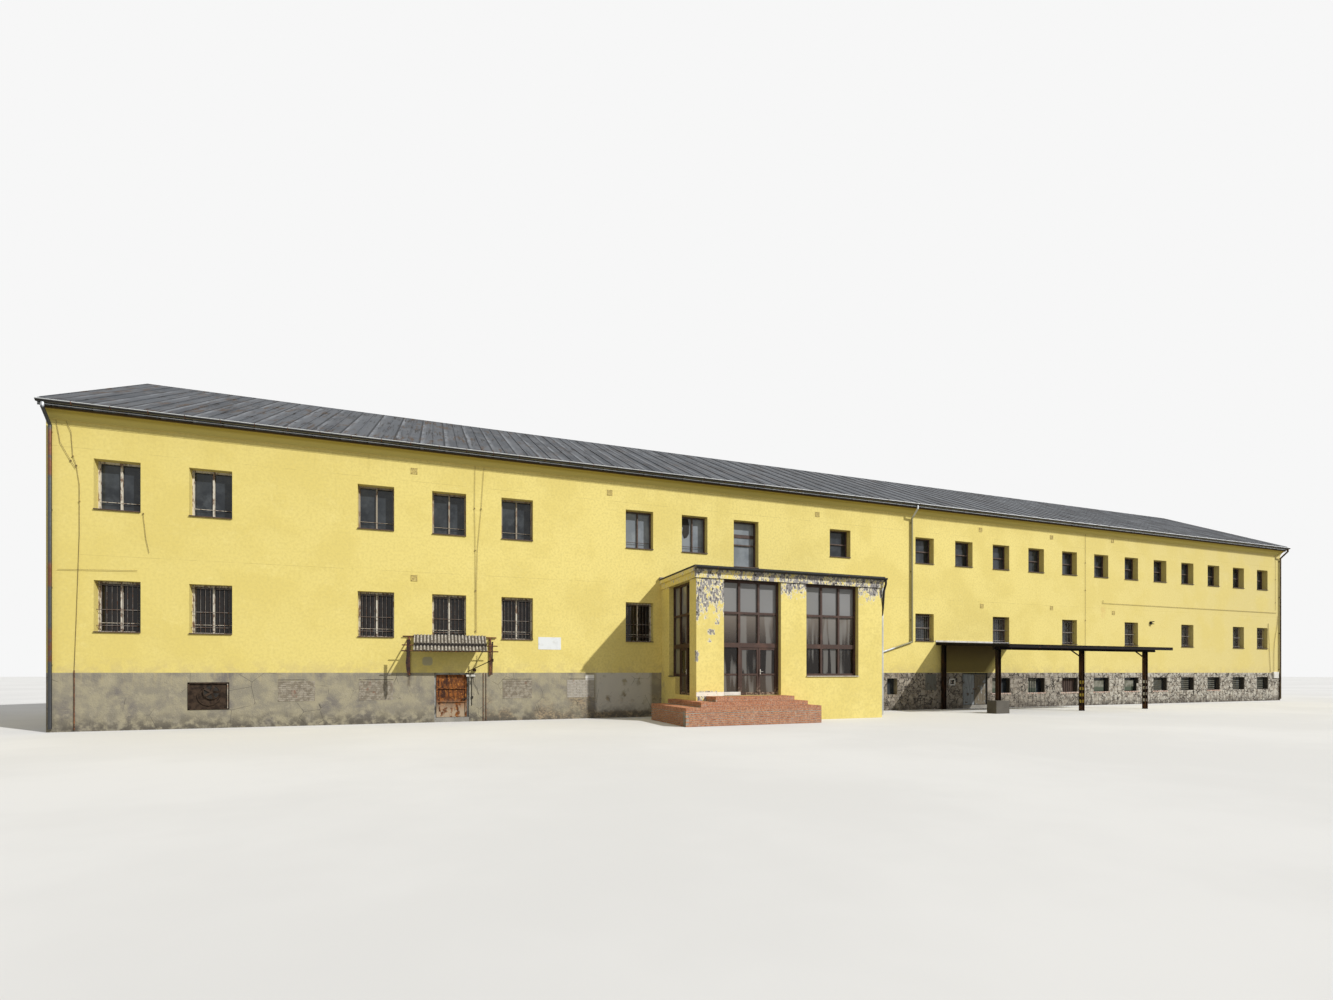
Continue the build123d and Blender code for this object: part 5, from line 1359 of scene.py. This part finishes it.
# %% Conductors, conduits and holders
OFF_WALL = 0.020
CONDUCTORS = (
    ((-18.62, 5.64), (-18.56, 5.24), (-18.41, 4.93), (-18.34, 4.80)),
    ((-18.476, 5.64), (-18.405, 5.45), (-18.38, 5.015), (-18.33, 4.85), (-18.286, 4.52), (-18.285, 3.60),
     (-18.33, 2.0), (-18.36, 1.09)),
    ((-17.34, 4.03), (-17.30, 3.60), (-17.25, 3.33)),
    ((-18.60, 2.945), (-17.43, 2.985)),
    ((-11.38, 5.64), (-11.39, 4.71), (-11.375, 3.78), (-11.37, 1.95)),
    ((-11.19, 5.64), (-11.25, 4.71), (-11.33, 3.78), (-11.35, 2.89), (-11.35, 1.95)),
    ((7.885, 5.64), (7.885, 1.09)),
    ((18.44, 5.64), (18.44, 3.50)),
)
CONDUITS = (
    ((8.72, 3.50), (8.72, 3.40), (18.50, 3.40)),
    ((18.60, 3.29), (18.50, 2.76), (18.355, 2.23), (18.325, 1.77), (18.325, 1.10)),
    ((17.965, 2.98), (18.03, 2.00), (18.10, 1.10)),
)
HOLDERS = ((-18.38, 5.015), (-18.33, 4.85), (-18.285, 4.20), (-18.41, 4.93), (-17.34, 4.06), (-11.39, 4.71),
           (-11.375, 3.78), (-11.37, 2.89), (-11.37, 2.00), (-11.25, 4.71), (7.885, 4.7), (7.885, 3.8),
           (7.885, 2.8), (18.44, 4.7), (18.44, 3.8))


thin = [wall_wire(points, OFF_WALL, 0.0035) for points in CONDUCTORS]
thin += [wall_wire(points, OFF_WALL, 0.006) for points in CONDUITS]
holder = [slab(-OFF_WALL, -0.012, 0.012, -0.012, 0.012, 0.007, 0.005),
          slab(0, -0.006, 0.006, -0.006, 0.006, OFF_WALL)]
thin += placed(holder, [(x, FRONT, z) for x, z in HOLDERS])
dress("conductors_on_wall", thin, conductor)
rods = [wall_wire([(-18.36, 1.12), (-18.36, 0.03)], 0.02, 0.009)]
rods += [wall_wire([(x, 0.01), (x, 1.07)], 0.012, 0.006) for x in (-11.205, -11.147)]
dress("earth_rods", rods, rust)

# %% [markdown]
# Fittings at the corrugated canopy: a strut from the right upright down to
# a bracket, a lamp housing, two conduits beside the door and slack
# cables. The left upright is stiffened by a plate that tapers to its foot.

# %% Fittings at the corrugated canopy
strut_rod = wire([(-11.06, -4.78, 1.345), (-11.54, FRONT - 0.03, 1.10)], 0.009)
dress("canopy_strut", [strut_rod,
                       bar((-11.09, -4.80, 1.315), (-11.03, -4.76, 1.375)),
                       slab(FRONT, -11.42, -11.36, 1.105, 1.165, 0.07)], dark_rust)
FRAME_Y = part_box("corrugated_canopy_frame")[0].y


def taper(points, y, thickness):
    """A flat plate with a given outline in XZ, as a filled polygon that is extruded."""
    made = start(bpy.ops.mesh.primitive_circle_add, (0, 0, 0), vertices=len(points), radius=0.1,
                 fill_type="NGON", rotation=FACING)
    for vertex, (x, z) in zip(made.data.vertices, points):
        vertex.co = (x, y, z)
    with editing():
        bpy.ops.mesh.extrude_region_move(TRANSFORM_OT_translate={"value": (0, thickness, 0)})
        bpy.ops.mesh.select_all(action="SELECT")
        bpy.ops.mesh.normals_make_consistent(inside=False)
    return made


left_plate = taper([(-12.758, 1.76), (-12.760, 1.45), (-12.775, 1.28), (-12.762, 1.14), (-12.740, 1.03),
                    (-12.715, 1.03), (-12.696, 1.14), (-12.690, 1.28), (-12.698, 1.45), (-12.697, 1.76)],
                   FRAME_Y + 0.004, 0.006)
right_plate = taper([(-11.068, 1.74), (-11.078, 1.35), (-11.076, 1.03), (-11.052, 1.03), (-11.046, 1.35),
                     (-11.036, 1.74)], FRAME_Y + 0.004, 0.006)
dress("canopy_upright_plates", [left_plate, right_plate], plate_rust)
dress("lamp_housing", [slab(FRONT, -11.57, -11.38, 0.985, 1.035, 0.05, edge=0.008)], white)
dress("cream_conduit", [wall_wire([(-11.491, 0.35), (-11.491, 0.98)], 0.012, 0.006)], white)
slack = [wall_wire([(-11.451, 0.35), (-11.451, 0.98)], 0.012, 0.006),
         wire([(-11.42, FRONT - 0.010, 0.98), (-11.40, FRONT - 0.014, 0.83), (-11.34, FRONT - 0.014, 0.74),
               (-11.30, FRONT - 0.010, 0.59)], 0.003),
         wire([(-11.335, FRONT - 0.012, 1.46), (-11.345, FRONT - 0.012, 1.30),
               (-11.37, FRONT - 0.02, 1.18)], 0.003),
         slab(FRONT, -11.46, -11.42, 0.51, 0.56, 0.04),
         slab(FRONT, -11.47, -11.40, 1.025, 1.050, 0.03)]
dress("cables_by_the_door", slack, black)

# %% [markdown]
# Smaller parts along the wall: a dark lamp over the loading side, the white
# meter box at the right end, a vent with a white frame, a boarded-up hole,
# a flashing over the deck, and hooks at the deck's free end.

# %% Boxes, flashing and hooks
dress("wall_lamp", [slab(FRONT, 11.09, 11.15, 2.762, 2.862, 0.06, edge=0.006),
                    slab(FRONT, 11.13, 11.21, 2.838, 2.862, 0.09, edge=0.004),
                    slab(FRONT, 11.13, 11.21, 2.762, 2.785, 0.08, edge=0.004)], black)
dress("meter_box", [slab(FRONT, 18.243, 18.57, 0.865, 1.110, 0.06, 0.01, 0.006)], white)
dress("white_vent_rim", rim(FRONT, 2.11, 2.34, 0.70, 0.90, 0.035, 0.022), white)
# The vent's throat is a black plate for the dark opening inside the white rim: painted shade.
dress("white_vent_throat", [slab(FRONT, 2.14, 2.31, 0.73, 0.87, 0.012)], black)
cover = [slab(FRONT, x, x + 0.078, 0.57, 1.04, 0.020) for x in (1.21 + i * 0.084 for i in range(5))]
dress("boarded_hole", cover, boards)
deck_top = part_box("loading_deck")[1].z
flashing = slab(FRONT, 1.604, 3.83, deck_top + 0.004, deck_top + 0.056, 0.016, 0.001)
old_flashing = slab(FRONT, 3.834, 4.51, deck_top + 0.004, deck_top + 0.040, 0.014, 0.001)
dress("deck_flashing", [flashing], white)
dress("deck_flashing_old", [old_flashing], zinc_sheet)
hooks = [wire([(x, -6.30, 1.79), (x, -6.30, 1.72), (x + 0.02, -6.30, 1.695), (x + 0.04, -6.30, 1.715)], 0.004)
         for x in (7.90, 7.99)]
dress("deck_hooks", hooks, dark_rust)

# %% [markdown]
# The porch has a few parts of its own: a white kerb under the fixed light
# beside the door, lever handles, a dark swan neck between gutter and pipe,
# a mortar fillet where its roof meets the wall, and a light post inside.

# %% Porch fittings
kerb = slab(PORCH_LOW.y, PILASTER_RIGHT + 0.002, -5.93, 0.578, 0.655, 0.004, 0.10, edge=0.006)
dress("porch_kerb", [kerb], white)


def lever(x, y, z):
    """A lever handle on a long plate, pointing right."""
    return [slab(y, x - 0.010, x + 0.010, z - 0.06, z + 0.05, 0.005, 0.001),
            wire([(x, y - 0.003, z), (x, y - 0.025, z), (x + 0.055, y - 0.025, z)], 0.0045)]


fixed_rail = slab(PORCH_LOW.y, -6.333, -5.922, 1.016, 1.058, -0.142, 0.190)
dress("porch_fixed_rail", [fixed_rail], joinery)
LEVER_Z = 1.10
right_door, side_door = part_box("porch_right_door")[0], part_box("porch_side_door")[0]
dress("porch_right_handle", lever(right_door.x + 0.025, right_door.y, LEVER_Z), white,
      body="porch_right_leaf")
side_handle = lever(0, 0, 0)
for part in side_handle:
    part.data.transform(Matrix.Translation((side_door.x, side_door.y + 0.025, LEVER_Z)) @
                        Matrix.Rotation(math.radians(-90), 4, "Z"))
dress("porch_side_handle", side_handle, white, body="porch_side_leaf")
neck = [wire([(-2.10, -6.53, 3.29), (-2.10, -6.53, 3.20), (-2.115, -6.48, 3.04), (-2.10, -6.42, 2.62),
              (-2.09, -6.375, 2.45)], 0.026, sides=10)]
dress("porch_swan_neck", neck, black)
fillet = [slab(FRONT, -7.06, -6.86, 3.36, 3.415, 0.10, 0.001, 0.008)]
dress("porch_roof_fillet", fillet, mortar)
inside_post = [wire([(-3.35, -5.60, 0.60), (-3.35, -5.60, 3.10)], 0.045, sides=14)]
dress("porch_inner_post", inside_post, white)

# %% [markdown]
# The stair window has a transom two fifths from its top and a brown rim. In
# the window left of it one pane is broken: a dark hole with a jagged
# edge. The bare plate hangs on four screws, and a bead runs under the gutter.

# %% Stair window, broken pane, screws and gutter bead
low, high = stair_pane
stair_bars = [slab(low.y, x0, x1, z0, z1, 0.016, -0.002) for x0, x1, z0, z1 in (
    (low.x - 0.01, high.x + 0.01, 4.600, 4.690),
    (low.x - 0.012, low.x + 0.03, low.z - 0.012, high.z + 0.012),
    (high.x - 0.03, high.x + 0.012, low.z - 0.012, high.z + 0.012))]
dress("stair_window_bars", stair_bars, joinery)
# The hole is a black plate on the glass for the dark room behind it: painted shade.
hole = taper([(-6.37, 4.97), (-6.38, 4.80), (-6.33, 4.74), (-6.36, 4.62), (-6.31, 4.47), (-6.23, 4.50),
              (-6.17, 4.60), (-6.16, 4.82), (-6.20, 4.98)], -4.0425, 0.001)
dress("broken_pane", [hole], black)
plate_low, plate_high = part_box("sign_plate")
screws = [disc(x, plate_low.y - 0.001, z, 0.006, 0.004, 10)
          for x in (plate_low.x + 0.02, plate_high.x - 0.02)
          for z in (plate_low.z + 0.02, plate_high.z - 0.02)]
dress("plate_screws", screws, zinc_sheet)
BEAD_Y, BEAD_Z = -4.520, 5.822
bead = wire([(x, BEAD_Y, BEAD_Z) for x in (front_gutter[0].x + 0.02, front_gutter[1].x - 0.02)], 0.004)
dress("gutter_bead", [bead], zinc_sheet)

# %% [markdown]
# Light and floor. A single sun lamp stands to the right and in front, so the
# reveals and the underside of the roof fall into shade as they should. The
# rest of the light is an even grey from all sides. Rays that come from the
# camera or from a reflection see a pale backdrop instead of that grey. The
# floor is pale to the camera too, but throws less light back than it shows,
# so that the shaded sides stay as dark as they are outdoors.

# %% Sun, even light and floor
SUN_TO = Vector((0.853, -1.0, 0.957))
SUN_STRENGTH = 3.5
SUN_WIDE = 0.9               # degrees across
EVEN = 0.48                  # strength of the grey light from all sides
BACKDROP = 0.93
FLOOR_SIZE = 400

sun = bpy.data.objects.new("sun", bpy.data.lights.new("sun", "SUN"))
bpy.context.scene.collection.objects.link(sun)
sun.data.energy = SUN_STRENGTH
sun.data.angle = math.radians(SUN_WIDE)
sun.rotation_euler = SUN_TO.to_track_quat("Z", "Y").to_euler()

world = bpy.data.worlds.new("pale_backdrop")
bpy.context.scene.world = world
world.use_nodes = True
air = world.node_tree
air.nodes.clear()
to_camera, mirrored, through = (add(air, "LightPath", {}, ray) for ray in (
    "Is Camera Ray", "Is Glossy Ray", "Is Transmission Ray"))
level = (to_camera | mirrored | through).map(0, 1, EVEN, BACKDROP)
add(air, "OutputWorld", {0: add(air, "Background", {"Color": "#ffffff", "Strength": level})})

floor = start(bpy.ops.mesh.primitive_plane_add, (0, 0, 0), size=FLOOR_SIZE)
floor.name = "floor"


def pale_floor(s):
    pale = s.mix(s.spots(6.0, 0.4, 0.6), "#d6d5d2", "#dcdbd8")
    s.colour = s.mix(s.node("LightPath", {}, "Is Camera Ray"), "#9a9a96", pale)


floor.data.materials.append(finish("pale_studio_floor", pale_floor, roughness=1.0))
print("sun strength", sun.data.energy, "even light", EVEN)
